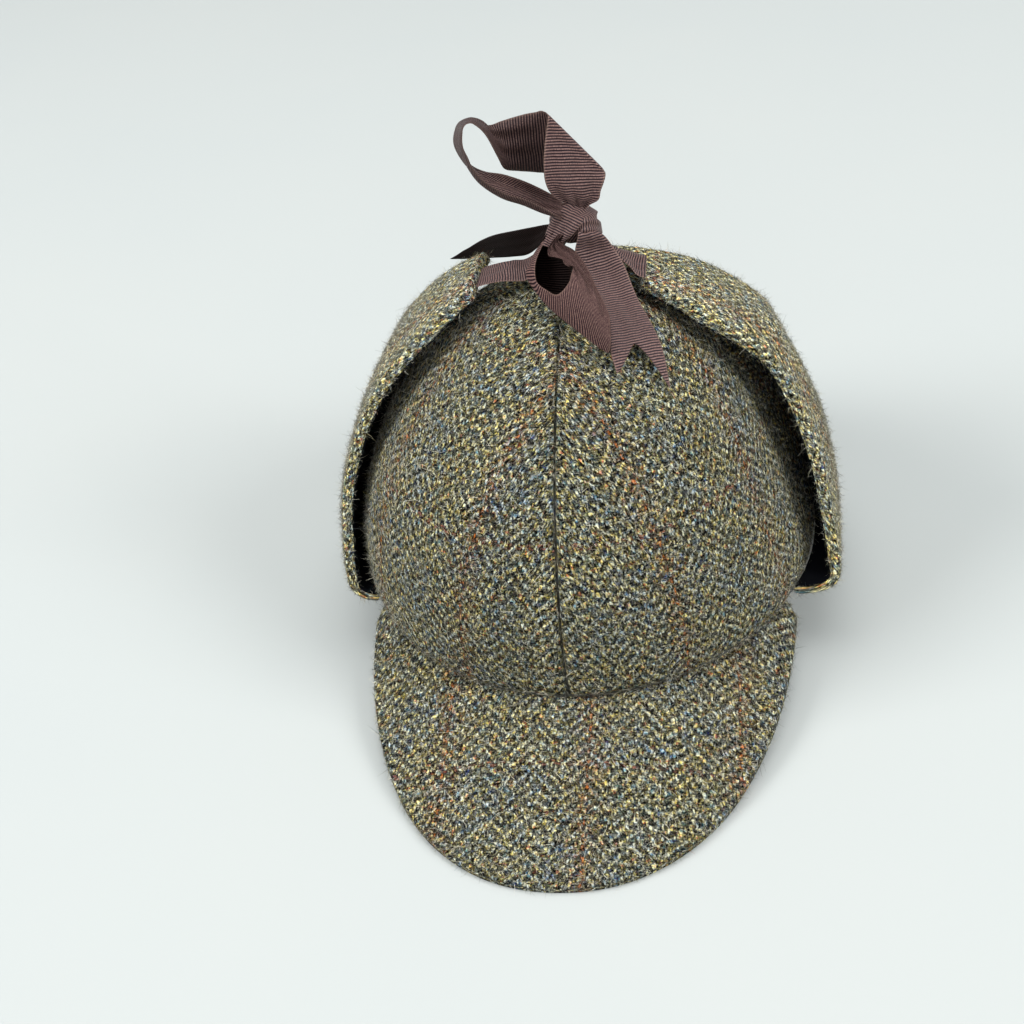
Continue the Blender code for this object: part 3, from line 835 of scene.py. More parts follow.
@dataclass(frozen=True)
class Fuzz:
    """Loose wool fibres that stand out of a piece of tweed."""

    count: int
    shortest: float = 1.0 * MM
    longest: float = 3.4 * MM
    length_power: float = 2.2
    width: float = 0.14 * MM
    tip_share: float = 0.25
    lean: float = 3.0
    bend: float = 0.35
    lowest: float = 0.3 * MM

    def grow(self, name: str, piece: bpy.types.Object, seed: int) -> bpy.types.Object:
        """Grows the fibres on a piece's outer faces.

        Args:
            name: the fibres' name.
            piece: the tweed that they stand on.
            seed: the number that their places follow from.

        Returns:
            The fibres, as one mesh of narrow bent strips.
        """
        chance = np.random.default_rng(SEED + seed)
        roots, normals, places = self.roots(piece.data, chance)
        along = chance.normal(size=(self.count, 3)) * self.lean
        along -= normals * np.sum(along * normals, axis=1, keepdims=True)
        way = normals + along
        way /= np.linalg.norm(way, axis=1, keepdims=True)
        bend = chance.normal(size=(self.count, 3)) * self.bend
        length = mix(self.shortest, self.longest, chance.random((self.count, 1)) ** self.length_power)
        sideways = np.cross(way, chance.normal(size=(self.count, 3)))
        sideways /= np.linalg.norm(sideways, axis=1, keepdims=True)

        # A long grid with every second column of faces taken out leaves one strip for each fibre.
        columns = 2 * self.count - 1
        bm = bmesh.new()
        bmesh.ops.create_grid(bm, x_segments=columns, y_segments=2, size=1.0)
        spare = [face for face in bm.faces if int(to_share(face.calc_center_median().x) * columns) % 2]
        bmesh.ops.delete(bm, geom=spare, context="FACES_ONLY")
        mesh = to_mesh(name, bm)
        flat = read_array(mesh.vertices, "co", 3)
        column = np.rint(to_share(flat[:, 0]) * columns).astype(int)
        hair = column // 2
        edge = (column % 2) * 2.0 - 1.0
        up = to_share(flat[:, 1])
        half = (self.width / 2.0) * mix(1.0, self.tip_share, up)
        spot = roots[hair] + way[hair] * (length[hair] * up[:, None])
        spot += bend[hair] * (length[hair] * (up ** 2)[:, None])
        spot += sideways[hair] * (edge * half)[:, None]
        spot[:, 2] = np.maximum(spot[:, 2], self.lowest)
        mesh.vertices.foreach_set("co", spot.ravel())
        corner = read_array(mesh.loops, "vertex_index", kind=int)
        mesh.uv_layers.new(name="cloth").data.foreach_set("uv", places[hair[corner]].ravel())
        mesh.update()
        return add_item(name, mesh)

    def roots(self, mesh: bpy.types.Mesh, chance: np.random.Generator) -> tuple[np.ndarray, ...]:
        """Chooses the fibres' roots, spread evenly over a piece's outer faces.

        Args:
            mesh: the piece's mesh.
            chance: what the places are drawn from.

        Returns:
            The points, the outward direction at each and its place on the flat cloth.
        """
        mesh.calc_loop_triangles()
        triangles = read_array(mesh.loop_triangles, "vertices", 3, int)
        corners = read_array(mesh.loop_triangles, "loops", 3, int)
        owner = read_array(mesh.loop_triangles, "polygon_index", kind=int)
        outer = read_array(mesh.attributes["inner_side"].data, "value", kind=int)[owner] == 0
        triangles, corners = triangles[outer], corners[outer]
        points = read_array(mesh.vertices, "co", 3)
        a, b, c = (points[triangles[:, i]] for i in range(3))
        across = np.cross(b - a, c - a)
        area = np.linalg.norm(across, axis=1)
        picked = chance.choice(len(area), size=self.count, p=area / area.sum())
        first, second = chance.random((2, self.count, 1))
        over = first + second > 1.0
        first, second = np.where(over, 1.0 - first, first), np.where(over, 1.0 - second, second)
        spots = a[picked] + (b - a)[picked] * first + (c - a)[picked] * second
        cloth = read_array(mesh.uv_layers["cloth"].data, "uv", 2)
        p, q, r = (cloth[corners[picked, i]] for i in range(3))
        return spots, across[picked] / area[picked][:, None], p + (q - p) * first + (r - p) * second


@dataclass(frozen=True)
class TweedPiece:
    """What a piece of tweed is called, what it stands for, and how it is finished and held."""

    name: str
    node: str
    finish: TweedFinish
    fibres: Fuzz
    seed: int
    held: Held = Held.STRETCHED

    def make(self, grid: WallGrid, place: Place, spread: Spread, wardrobe: Wardrobe) -> bpy.types.Object:
        """Shapes the piece, and gives it its finish, its loose fibres and its place in the frame.

        Args:
            grid: how finely its wall is divided.
            place: where each place on its wall is.
            spread: where each place is on the flat cloth.
            wardrobe: the shared finishes.

        Returns:
            The piece.
        """
        piece = cloth_wall(self.name + "_tweed", grid, place, spread)
        piece.data.materials.append(self.finish.material(wardrobe.tweed))
        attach(piece, BODY)
        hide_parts(self.node)
        fuzz = self.fibres.grow(self.name + "_fuzz", piece, self.seed)
        fuzz.data.materials.append(self.finish.fibres(wardrobe.tweed))
        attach(fuzz, BODY)
        declare_cloth(piece, self.held)
        logging.info("%s stands for %s, with %d fibres", piece.name, self.node, self.fibres.count)
        return piece


# Routes

# How far apart two points are, in radians, where a surface's direction is read from them.
STEP = 0.002
QUARTER = math.pi / 2.0


def measure(route: Callable[[float], Vector], end: float, steps: int) -> Rows:
    """How far it is along a route to each place on it, as a table.

    Args:
        route: takes a place and returns the point there.
        end: its last place; the first is 0.
        steps: how many straight steps it is measured in.

    Returns:
        Each place, and how far it is there from the first one.
    """
    rows, before = [(0.0, 0.0)], route(0.0)
    for index in range(1, steps + 1):
        place = end * index / steps
        spot = route(place)
        rows.append((place, rows[-1][1] + (spot - before).length))
        before = spot
    return rows


def smooth_route(stations: Sequence[Vector], place: float) -> tuple[Vector, Vector]:
    """A point and its direction of travel on a smooth curve through the stations.

    Args:
        stations: the points that the curve passes.
        place: how far along it, from 0 to 1.

    Returns:
        The point and the direction of travel.
    """
    last = len(stations) - 1
    index = min(int(place * last), last - 1)
    t = place * last - index
    points = [stations[min(max(index + i, 0), last)] for i in (-1, 0, 1, 2)]
    if index == 0:
        points[0] = points[1] * 2.0 - points[2]
    if index == last - 1:
        points[3] = points[2] * 2.0 - points[1]
    a, b, c, d = points
    square = 2.0 * a - 5.0 * b + 4.0 * c - d
    cube = 3.0 * b - a - 3.0 * c + d
    value = 0.5 * (2.0 * b + (c - a) * t + square * t * t + cube * t**3)
    slope = 0.5 * ((c - a) + square * 2.0 * t + cube * 3.0 * t * t)
    return value, slope


# The crown


@dataclass(frozen=True)
class CrownForm:
    """The crown's dome on its oval rim, and the even dome that the flaps lie over."""

    half_width: float = 88.0 * MM
    half_length: float = 99.0 * MM
    height: float = 111.5 * MM
    rim_height: float = 21.2 * MM
    bulge: float = 0.045
    wall: float = 2.5 * MM
    come_back: float = 0.45
    # The lift in degrees, and how far in the left side and the right side are there, in millimetres.
    pressed_in: Rows = (
        (0, 0, 0), (5, 0, 0), (15, 1, 7), (30, 3, 10), (45, 3, 6), (60, 1, 2), (75, 0, 0), (90, 0, 0)
    )

    def spread(self, lift: float) -> float:
        """How far out the dome is at a lift angle, as a share of its rim."""
        return math.cos(lift) * (1.0 + self.bulge * math.sin(math.pi * math.sin(lift)))

    def dome_point(self, turn: float, lift: float, inward: float = 0.0) -> Vector:
        """A point on the dome with its side so far in. Turn 0 is the front seam and goes towards +X."""
        spread = self.spread(lift)
        x = (self.half_width - inward) * spread * math.sin(turn)
        y = -self.half_length * spread * math.cos(turn)
        return Vector((x, y, self.rim_height + self.height * math.sin(lift)))

    def pressed(self, lift: float, sideways: float, forwards: float) -> float:
        """How far in the crown's side is, from the sine and cosine of the turn there."""
        left, right = read_row(self.pressed_in, math.degrees(lift))
        kept = smooth_step((forwards + self.come_back) / self.come_back)
        return (right if sideways > 0.0 else left) * MM * sideways * sideways * kept

    def point(self, turn: float, lift: float) -> Vector:
        """A point on the outside of the crown."""
        return self.dome_point(turn, lift, self.pressed(lift, math.sin(turn), math.cos(turn)))

    def normal(self, turn: float, lift: float) -> Vector:
        """The outward direction of the crown's surface."""
        sideways = self.point(turn + STEP, lift) - self.point(turn - STEP, lift)
        upward = self.point(turn, lift + STEP) - self.point(turn, lift - STEP)
        return sideways.cross(upward).normalized()

    def side(self, lift: float) -> tuple[Vector, Vector, float]:
        """The dome's outline at its widest: the point, its outward direction and metres per radian."""
        travel = self.dome_point(QUARTER, lift + STEP) - self.dome_point(QUARTER, lift - STEP)
        outward = Vector((travel.z, 0.0, -travel.x)).normalized()
        return self.dome_point(QUARTER, lift), outward, travel.length / (2.0 * STEP)


@dataclass
class Crown:
    """The four tweed gores, sewn edge to edge."""

    form: CrownForm
    top_lift: float = math.radians(89.3)
    seam_gap: float = 0.7 * MM
    seam_depth: float = 1.6 * MM
    seam_run: float = 2.3 * MM
    deepest_share: float = 0.8
    rim_slope: float = 0.8
    swell: float = 0.7 * MM
    swell_size: float = 30.0 * MM
    swell_start: float = 9.0 * MM
    climb_steps: int = 60
    fibres_seen: int = 20000
    fibres_hidden: int = 9000
    grid: WallGrid = WallGrid(38, 34, 2.5 * MM, 1.7, 1.3, 0.02, 0.02, 0.75)
    # How far each gore's pattern is moved over its flat cloth.
    shifts: Rows = ((28.0 * MM, 8.0 * MM), (4.5 * MM, 3.0 * MM), (2.0 * MM, 1.0 * MM), (18.5 * MM, 8.0 * MM))

    def build(self, wardrobe: Wardrobe) -> None:
        """Builds the gores, from the one to the right of the front seam round to the one to its left."""
        for index in range(len(self.shifts)):
            self.gore(index, wardrobe)

    def gore(self, index: int, wardrobe: Wardrobe) -> None:
        """Builds one gore.

        Args:
            index: which one, from 0, counted from the front seam towards +X.
            wardrobe: the shared finishes.
        """
        span = math.tau / len(self.shifts)
        middle = span * (index + 0.5)
        climb = measure(lambda lift: self.form.point(middle, lift), QUARTER, self.climb_steps)

        def reach(v: float) -> tuple[float, float]:
            """The lift angle at a place along the gore, and the crown's radius at its middle there."""
            lift = self.top_lift * to_share(v)
            return lift, math.hypot(*self.form.point(middle, lift).xy)

        def place(u: float, v: float, w: float) -> Vector:
            """The point at a place on the gore's wall."""
            lift, radius = reach(v)
            half = span / 2.0 - self.seam_gap / 2.0 / radius
            turn = middle + u * half
            spot = self.form.point(turn, lift)
            to_seam = (1.0 - abs(u)) * half * radius
            to_rim = (spot.z - self.form.rim_height) / self.rim_slope
            dip = 0.0
            for distance in (to_seam, to_rim):
                dip += self.seam_depth * max(0.0, 1.0 - distance / self.seam_run) ** 2
            swell = wander(spot, self.swell_size, self.swell)
            swell *= smooth_step(min(to_seam, to_rim) / self.swell_start)
            inward = to_share(-w) * self.form.wall
            inward += to_share(w) * min(dip, self.deepest_share * self.form.wall)
            return spot - self.form.normal(turn, lift) * (inward - swell)

        def spread(u: float, v: float) -> tuple[float, float]:
            """The place on the flat cloth: across from the gore's middle, and up from the rim."""
            lift, radius = reach(v)
            return u * span / 2.0 * radius, read_row(climb, lift)[0]

        name = "gore_%d" % (index + 1)
        finish = TweedFinish(name + "_cloth", shift=self.shifts[index])
        fibres = Fuzz(self.fibres_seen if index in (0, len(self.shifts) - 1) else self.fibres_hidden)
        TweedPiece(name, "crown_" + name, finish, fibres, index).make(self.grid, place, spread, wardrobe)


# Peaks


@dataclass
class Peak:
    """A stiff tweed peak: a crescent from the rim to an outer edge that is a superellipse from above."""

    form: CrownForm
    facing: Facing
    thickness: float = 3.5 * MM
    edge_thickness: float = 3.0 * MM
    half_width: float = 81.6 * MM
    side_start: float = 23.4 * MM
    reach: float = 69.3 * MM
    squareness: float = 2.16
    end_turn: float = math.radians(82.0)
    fall: float = 19.0 * MM
    level_share: float = 0.86
    level_power: float = 0.75
    rest_half_width: float = 45.0 * MM
    rest_share: float = 0.9
    row_power: float = 1.4
    gap: float = 0.3 * MM
    swell: float = 0.5 * MM
    swell_size: float = 24.0 * MM
    slope_length: float = 1.03
    fibres_seen: int = 20000
    fibres_hidden: int = 8000
    shift: tuple = (-8.0 * MM, 128.0 * MM)
    grid: WallGrid = WallGrid(72, 30, 3.5 * MM, 1.15, 1.5, 0.02, 0.035, 0.35)

    def edge(self, turn: float) -> tuple[Vector, float]:
        """The outer edge seen from above, and how much of the peak's whole fall it has there."""
        power = 2.0 / self.squareness
        share = abs(math.cos(turn)) ** power
        x = self.half_width * signed_power(math.sin(turn), power)
        y = -self.side_start - (self.form.half_length + self.reach - self.side_start) * share
        return Vector((x, y)), min(1.0, (share / self.level_share) ** self.level_power)

    def plan(self, u: float, v: float) -> tuple[Vector, float, float, float]:
        """A place on the peak seen from above, its share of the way out, the width there and its level."""
        outer, level = self.edge(u * self.end_turn)
        form = self.form
        turn = math.atan2(outer.x / form.half_width, -outer.y / form.half_length)
        x = (form.half_width - form.wall) * math.sin(turn)
        inner = Vector((x, -(form.half_length - form.wall) * math.cos(turn)))
        share = 1.0 - (1.0 - to_share(v)) ** self.row_power
        return inner.lerp(outer, share), share, (outer - inner).length, level

    def place(self, u: float, v: float, w: float) -> Vector:
        """The point at a place on the peak's wall."""
        plan, share, width, level = self.plan(u, v)
        slope = max(0.0, share * width - self.form.wall) / (width - self.form.wall)
        top = self.form.rim_height - self.gap - self.fall * level * slope
        under = max(0.0, top - self.thickness)
        if share > self.rest_share and abs(plan.x) < self.rest_half_width:
            under = 0.0
        top = max(top, under + self.edge_thickness)
        swell = wander(Vector((plan.x, plan.y, 5.0)), self.swell_size, self.swell)
        top += swell * smooth_step((1.0 - share) * 4.0)
        return Vector((plan.x, plan.y * self.facing.value, mix(under, top, to_share(w))))

    def spread(self, u: float, v: float) -> tuple[float, float]:
        """The place on the flat cloth, whose columns run from the rim to the outer edge."""
        plan = self.plan(u, v)[0]
        return plan.x, plan.y * self.slope_length

    def build(self, wardrobe: Wardrobe) -> None:
        """Builds the peak."""
        name = self.facing.name.lower() + "_peak"
        finish = TweedFinish(name + "_cloth", shift=self.shift)
        fibres = Fuzz(self.fibres_seen if self.facing is Facing.FRONT else self.fibres_hidden)
        piece = TweedPiece(name, name, finish, fibres, 10 + int(self.facing.value))
        piece.make(self.grid, self.place, self.spread, wardrobe)


# Ear flaps


@dataclass
class EarFlap:
    """A double tweed flap, hemmed at the rim, folded up and following the crown to its top."""

    form: CrownForm
    side: Side
    sections: Rows
    tip_lift: float
    tip_corner: float
    warmth: float = 0.0
    thickness: float = 5.0 * MM
    seam_gap: float = 0.5 * MM
    seam_rise: float = 3.0 * MM
    hem_rise: float = 6.0 * MM
    hem_share: float = 0.12
    corner_start: float = 10.0 * MM
    corner_run: float = 14.0 * MM
    tuck_run: float = 24.0 * MM
    tuck_gap: float = 3.0 * MM
    tuck_top: float = math.radians(46.0)
    tuck_fade: float = math.radians(18.0)
    climb_share: float = 0.92
    probe: float = 0.004
    # The flaps' tweed is painted lighter than the crown's, for the light that falls on their upward and
    # outward faces.
    lightness: float = 1.4
    shift: tuple = (3.0 * MM, 4.0 * MM)
    fibres: int = 20000
    grid: WallGrid = WallGrid(36, 56, 5.0 * MM, 1.5, 1.2, 0.04, 0.03, 0.8)

    def section(self, lift: float) -> list[float]:
        """The flap's front edge, back edge and gap in metres, and its curve, at a lift angle in degrees."""
        *edges, curve = read_row(self.sections, lift)
        return [*(edge * MM for edge in edges), curve]

    def tucked_in(self, lift: float, y: float) -> float:
        """How far from the dome's side outline the flap is where it lies against the crown itself."""
        form = self.form
        spread = form.spread(lift)
        forwards = -y / (form.half_length * spread)
        sideways = math.sqrt(max(0.0, 1.0 - forwards * forwards))
        pressed = form.pressed(lift, sideways * self.side.value, forwards)
        half_width = (form.half_width - pressed) * spread * sideways
        fall_back = (form.half_width * spread - half_width) * form.side(lift)[1].x
        return self.tuck_gap + self.thickness / 2.0 - fall_back

    def middle(self, share: float, across: float) -> tuple[float, float, float]:
        """The middle of the flap's thickness.

        Args:
            share: how far up the flap, from 0 at the rim's seam to 1 at its tip.
            across: how far from its front edge to its back edge.

        Returns:
            The distance from the dome's side outline, the lift angle and the Y.
        """
        form = self.form
        rate = form.side(0.0)[2]
        seam_lift = self.seam_rise / rate
        hem_lift = (self.seam_rise + self.hem_rise) / rate
        if share < self.hem_share:
            turn = share / self.hem_share * QUARTER
            lift = mix(seam_lift, hem_lift, 1.0 - math.cos(turn))
            reach = math.sin(turn)
        else:
            corner = mix(*self.section(self.tip_lift)[:2], across)
            back = smooth_step((corner - self.corner_start) / self.corner_run)
            climb = (share - self.hem_share) / (1.0 - self.hem_share)
            lift = mix(hem_lift, math.radians(self.tip_lift + self.tip_corner * back), climb)
            reach = 1.0
        front, back, gap, curve = self.section(math.degrees(lift))
        y = mix(front, back, across)
        stand_off = gap + self.thickness / 2.0 - y * y * curve / 2.0
        tuck = smooth_step((y - back + self.tuck_run) / self.tuck_run)
        tuck *= smooth_step((self.tuck_top - lift) / self.tuck_fade)
        stand_off = mix(stand_off, min(stand_off, self.tucked_in(lift, y)), tuck)
        spread = form.spread(lift)
        hollow = math.sqrt(max(0.0, 1.0 - (y / (form.half_length * spread)) ** 2))
        seam = self.seam_gap - form.half_width * spread * (1.0 - hollow)
        return mix(seam, stand_off, reach), lift, y

    def place(self, u: float, v: float, w: float) -> Vector:
        """The point at a place on the flap's wall."""
        across, share = to_share(u), to_share(v)
        before = self.middle(max(share - self.probe, 0.0), across)
        after = self.middle(min(share + self.probe, 1.0), across)
        distance, lift, y = self.middle(share, across)
        rate = self.form.side(lift)[2]
        rise = (after[1] - before[1]) * rate
        run = after[0] - before[0]
        offset = w * self.thickness / 2.0 / math.hypot(rise, run)
        point, outward, _ = self.form.side(lift - offset * run / rate)
        point = point + outward * (distance + offset * rise)
        return Vector((point.x * self.side.value, y, point.z))

    def spread(self, u: float, v: float) -> tuple[float, float]:
        """The place on the flat cloth: along Y, and up from the hem."""
        share = to_share(v)
        _, lift, y = self.middle(share, to_share(u))
        return y, lift * self.form.height * self.climb_share + share * self.hem_rise

    def build(self, wardrobe: Wardrobe) -> None:
        """Builds the flap, and gives its inner face the near-black material that paints the shade between
        flap and crown.
        """
        name = self.side.name.lower()
        finish = TweedFinish(name + "_flap_cloth", self.lightness, self.warmth, self.shift)
        fibres, seed = Fuzz(self.fibres), 20 + int(self.side.value)
        piece = TweedPiece(name + "_flap", name + "_ear_flap", finish, fibres, seed, Held.FOLDED)
        flap = piece.make(self.grid, self.place, self.spread, wardrobe).data
        # Painted shade: the flap's inner faces take the near-black material.
        flap.materials.append(wardrobe.inner_side)
        inner = read_array(flap.attributes["inner_side"].data, "value", kind=int)
        flap.polygons.foreach_set("material_index", inner)


# Each row: the lift in degrees; the front edge, back edge and gap in millimetres; how far the flap curves in,
# as one over the radius in metres.
LEFT_FLAP_SECTIONS = (
    (0, -47, 50, 3.9, 6.6), (15, -40, 46, 3, 7.5),
    (30, -30, 39, 2.3, 4.7), (45, -26, 34, 4.5, 2.1),
    (60, -20, 31, 5.6, 3.6), (72, -7, 26, 6.2, 6.7),
    (80, -4, 25, 7, 6.9),
)
RIGHT_FLAP_SECTIONS = (
    (0, -46, 49, 5.3, 0.2), (15, -29, 45, 2.6, 3.7),
    (30, -19, 40, 4.1, 8.6), (45, -15, 35, 8, 7.5),
    (60, -15, 30, 5.8, 6.8), (72, -5, 26, 3, 7.1),
    (80, 3, 25, 1.2, 6.5),
)


# The bow

# Each station is x, y, z of the ribbon's one edge and of its other edge, in millimetres from the middle of
# the rim plane. The last three numbers, where there are any, are how far its middle bows out of the straight
# line between them.
LEFT_TIE = (
    (-32.5, 13, 113, -32.5, -3, 113.5), (-24.5, 10, 116, -23, -4, 115.5, 0, 0, 1),
    (-20, 10, 116.5, -18.5, -4, 115.5, 0, 0, 3), (-14, 10, 117, -12.5, -4, 116, -1, -0.5, 3),
    (-8.5, 8, 121.5, -5, -1, 121, -1, -0.5, 1.5), (-1, 5, 126.5, 0.5, 1, 126),
)
RIGHT_TIE = (
    (29, 14, 114.5, 29.5, -4, 114.5), (25.5, 13, 116.5, 26.5, -4, 116.5, -0.5, 0, -1),
    (21.5, 11, 119, 24.5, -2, 118.5, -0.5, 0, -1), (17.5, 8, 122, 20, 0, 121.5),
    (11, 6.5, 127.5, 11, 2, 127.5),
)
UPPER_LOOP = (
    (3, 1, 142.5, 11, 1.5, 141.5), (-1, 0.5, 146.5, 14.5, 1.5, 143.5, 0, -1, 0),
    (-3, 0, 151, 15.5, 2, 146.5, 0, -1, 0), (-3.5, 0.5, 156, 17, 2.5, 149.5),
    (-3, 2.5, 162, 17.5, 3.5, 151), (-2, 4.5, 167.5, 17.5, 4, 152),
    (-1, 6, 172.5, 17, 4, 152.5), (-1.5, 8, 173, 16.5, 6, 152),
    (-2.5, 10, 173, 12, 8.5, 151), (-4, 11, 173, 2.5, 11, 149.5),
    (-5.5, 11, 172.5, -5.5, 13, 149), (-9, 11, 172, -10, 13, 149.5),
    (-13.5, 11, 171, -14.5, 12, 150.5), (-18, 11, 170, -18, 10, 152.5),
    (-22.5, 11.5, 169, -19, 4.5, 160), (-26, 12.5, 170.5, -21, -2, 171),
    (-30, 14, 170.5, -24, -6.5, 177), (-33.5, 14, 169.5, -27, -8, 177),
    (-35.5, 13, 166.5, -28.5, -8.5, 174), (-36, 12, 162.5, -29, -9, 169.5),
    (-34, 11, 158, -28, -9, 165.5), (-30.5, 10, 154, -27, -8.5, 161),
    (-25.5, 9, 152, -23.5, -7.5, 155.5, -1, -0.5, -1), (-19, 8, 151.5, -17, -6, 150, -1.5, 0, -3),
    (-11.5, 6.5, 149.5, -10.5, -5, 147, -1.5, 1, -4), (-5, 4.5, 147, -5, -4.5, 143.5, -2, 1.5, -3.5),
    (-0.5, 3, 144.5, -1.5, -4, 140.5, -1, 1, -1.5), (2, 1, 142.5, 0.5, -2.5, 138.5),
)
FRONT_LOOP = (
    (-3, -1.5, 133, -1, -1.5, 130.5), (-5, -3.5, 131, 0, -4, 128.5, -4, 3, -2.5),
    (-6, -6.5, 129.5, 2, -7, 126.5, -7, 4.5, -3.5), (-7.5, -9.5, 127, 4.5, -11, 122.5, -9, 5.5, -4),
    (-8, -12.5, 124.5, 5.5, -18, 116, -10, 7, -2.5), (-7.5, -16, 121.5, 9, -27, 111.5, -4.5, 1.5, -3),
    (-4, -20, 120.5, 14, -36, 107.5, -2, 1, -2.5), (0, -24, 120.5, 18, -39.5, 105, -0.5, -1, -0.5),
    (3.5, -25, 123.5, 19.5, -40, 109, 0, -2, 1.5), (6, -23, 127, 18.5, -34.5, 116, 0.5, -2.5, 1.5),
    (5.5, -19, 128, 14, -25, 121.5, 0, -1.5, 1), (2.5, -16, 128.5, 10, -16.5, 126.5, 0, -1, 0.5),
    (-0.5, -14, 128.5, 6.5, -11, 130, -0.5, 1, -1), (-3.5, -12, 128.5, 2.5, -8, 131.5, -0.5, 2, -1),
    (-4, -9, 130, 0.5, -6, 132, 0, 0.5, -0.5), (-2, -6, 131.5, 1.5, -4, 132),
)
LEFT_TAIL = (
    (-4.5, 6.5, 132.5, -4.5, 3.5, 129), (-11, 10, 130, -14.5, 17, 116),
    (-20, 17, 125.5, -23, 26, 110.5), (-28.5, 25, 120.5, -32, 34, 106.5),
    (-36, 33, 114.5, -41.5, 40, 103.5), (-45, 41, 106.5, -51.5, 44, 102),
)
FRONT_TAIL = (
    (7, -4.5, 133, 15, -1, 131.5), (5.5, -5, 127.5, 19, -2.5, 126, -0.5, 1.5, -1),
    (5.5, -9, 123.5, 22.5, -6.5, 121.5, -0.5, 1.5, -2), (8.5, -14.5, 119, 25, -11.5, 117, -0.5, 1, -1.5),
    (12.5, -21.5, 115, 28, -17.5, 112.5, -0.5, 0.5, -1), (16, -29.5, 110.5, 32.5, -25.5, 108),
    (18.5, -38, 105.5, 36.5, -34, 102), (21, -44.5, 99, 39, -43.5, 91.5),
)
# The turn that is drawn over the knot and down into the front loop, and the band under it.
BROAD_TURN = (
    (6.5, 6, 142, 13.5, 6, 136.5), (4.5, 2, 143.5, 13, 1, 136.5),
    (1.5, 0.5, 142, 9.5, -2.5, 137), (-2, -0.5, 138.5, 7, -4, 135),
    (-4.5, -0.5, 134, 4.5, -4.5, 132.5), (-5.5, -2.5, 131.5, 1, -4.5, 130),
    (-6, -5.5, 130, -0.5, -6.5, 128.5),
)
BAND = (
    (6.5, -3, 135.5, 6, -2.5, 130.5), (9.5, -2, 138, 8.5, -3.5, 132.5),
    (11.5, 0, 137.5, 11.5, -2, 132), (13.5, 2.5, 135.5, 13.5, 0.5, 130.5),
    (14, 6, 132.5, 14.5, 5, 128.5),
)
KNOT_CENTRE = (4.5, 4.0, 134.0)
KNOT_LUMP = (8.6, 6.7, 7.6)
INTO_KNOT = 0.62
NO_BOW = (0.0, 0.0, 0.0)


def from_rim(place: Sequence[float]) -> Vector:
    """The point for a place in millimetres from the middle of the rim plane."""
    return Vector(place) * MM + Vector((0.0, 0.0, CrownForm().rim_height))


class Tied(Enum):
    """Which of a strip's ends run into the knot."""

    START = (True, False)
    END = (False, True)
    BOTH = (True, True)
    NEITHER = (False, False)


@dataclass
class Ribbon:
    """A flat strip of grosgrain through its stations."""

    name: str
    node: str
    stations: Rows
    tied: Tied
    deepest: float = 0.8 * MM
    # How light the strip's reverse is: painted darker as shade where it faces away from the light or into a
    # loop.
    shaded_reverse: float = 1.0
    held: Optional[Held] = Held.FOLDED
    notch: float = 0.0
    pleats: float = 1.5
    thickness: float = 0.6 * MM
    steps: int = 7
    across: int = 12
    ease: float = 4.0 * MM

    def routes(self) -> tuple[list[Vector], list[Vector], list[Vector]]:
        """The stations of the two edges in the hat's own frame, and the middle's bow at each."""
        rows = list(self.stations)
        if self.tied.value[0]:
            rows.insert(0, self.into_knot(rows[0]))
        if self.tied.value[1]:
            rows.append(self.into_knot(rows[-1]))
        first = [from_rim(row[:3]) for row in rows]
        second = [from_rim(row[3:6]) for row in rows]
        return first, second, [Vector(row[6:] or NO_BOW) * MM for row in rows]

    @staticmethod
    def into_knot(row: Sequence[float]) -> list[float]:
        """A station inside the knot for a strip whose last one outside it is the given row."""
        return [mix(part, middle, INTO_KNOT) for part, middle in zip(row[:6], KNOT_CENTRE * 2)]

    def build(self) -> bpy.types.Object:
        """Builds the strip, with the width that it has lost taken up in small gathers."""
        first, second, bows = self.routes()
        parts = len(first) - 1
        first_run, second_run = (
            measure(lambda along, edge=edge: smooth_route(edge, along)[0], 1.0, 8 * parts)
            for edge in (first, second)
        )
        length = mix(first_run[-1][1], second_run[-1][1], 0.5)
        grid = WallGrid(self.across, self.steps * parts, self.thickness, 1.0, 1.0, 0.02, 0.01, 0.6)

        def reach(u: float, v: float) -> float:
            """The share of the way along the strip, whose cut end may have a notch in its middle."""
            return to_share(v) * (1.0 - self.notch * (1.0 - abs(u)) / length)

        def place(u: float, v: float, w: float) -> Vector:
            """The point at a place on the strip."""
            along = reach(u, v)
            one, one_travel = smooth_route(first, along)
            other, other_travel = smooth_route(second, along)
            bow, bow_travel = smooth_route(bows, along)
            travel = one_travel.lerp(other_travel, to_share(u)) + bow_travel * (1.0 - u * u)
            out = travel.cross((other - one) / 2.0 - bow * 2.0 * u).normalized()
            width = (other - one).length
            width += bow.length_squared / width * 8.0 / 3.0
            spare = max(0.0, RIBBON_WIDTH / width - 1.0)
            depth = min(self.deepest, width / math.pi / self.pleats * math.sqrt(spare) * 0.5)
            gather = depth * math.cos(math.tau * self.pleats * u)
            gather *= smooth_step(0.5 * (1.0 - abs(v)) * length / self.ease)
            middle = one.lerp(other, to_share(u)) + bow * (1.0 - u * u)
            return middle + out * (gather + w * self.thickness / 2.0)

        def spread(u: float, v: float) -> tuple[float, float]:
            """The place on the flat ribbon: from its middle, and along it."""
            along = reach(u, v)
            ends = read_row(first_run, along)[0], read_row(second_run, along)[0]
            return u * RIBBON_WIDTH / 2.0, mix(*ends, to_share(u))

        return cloth_wall(self.name, grid, place, spread)

    def dress(self, strip: bpy.types.Object, wardrobe: Wardrobe) -> None:
        """Gives the strip its finish and place in the frame."""
        finish = RibbonFinish(self.name + "_cloth", self.shaded_reverse)
        strip.data.materials.append(finish.material(wardrobe.grosgrain))
        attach(strip, BODY)
        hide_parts(self.node)
        if self.held:
            declare_cloth(strip, self.held)


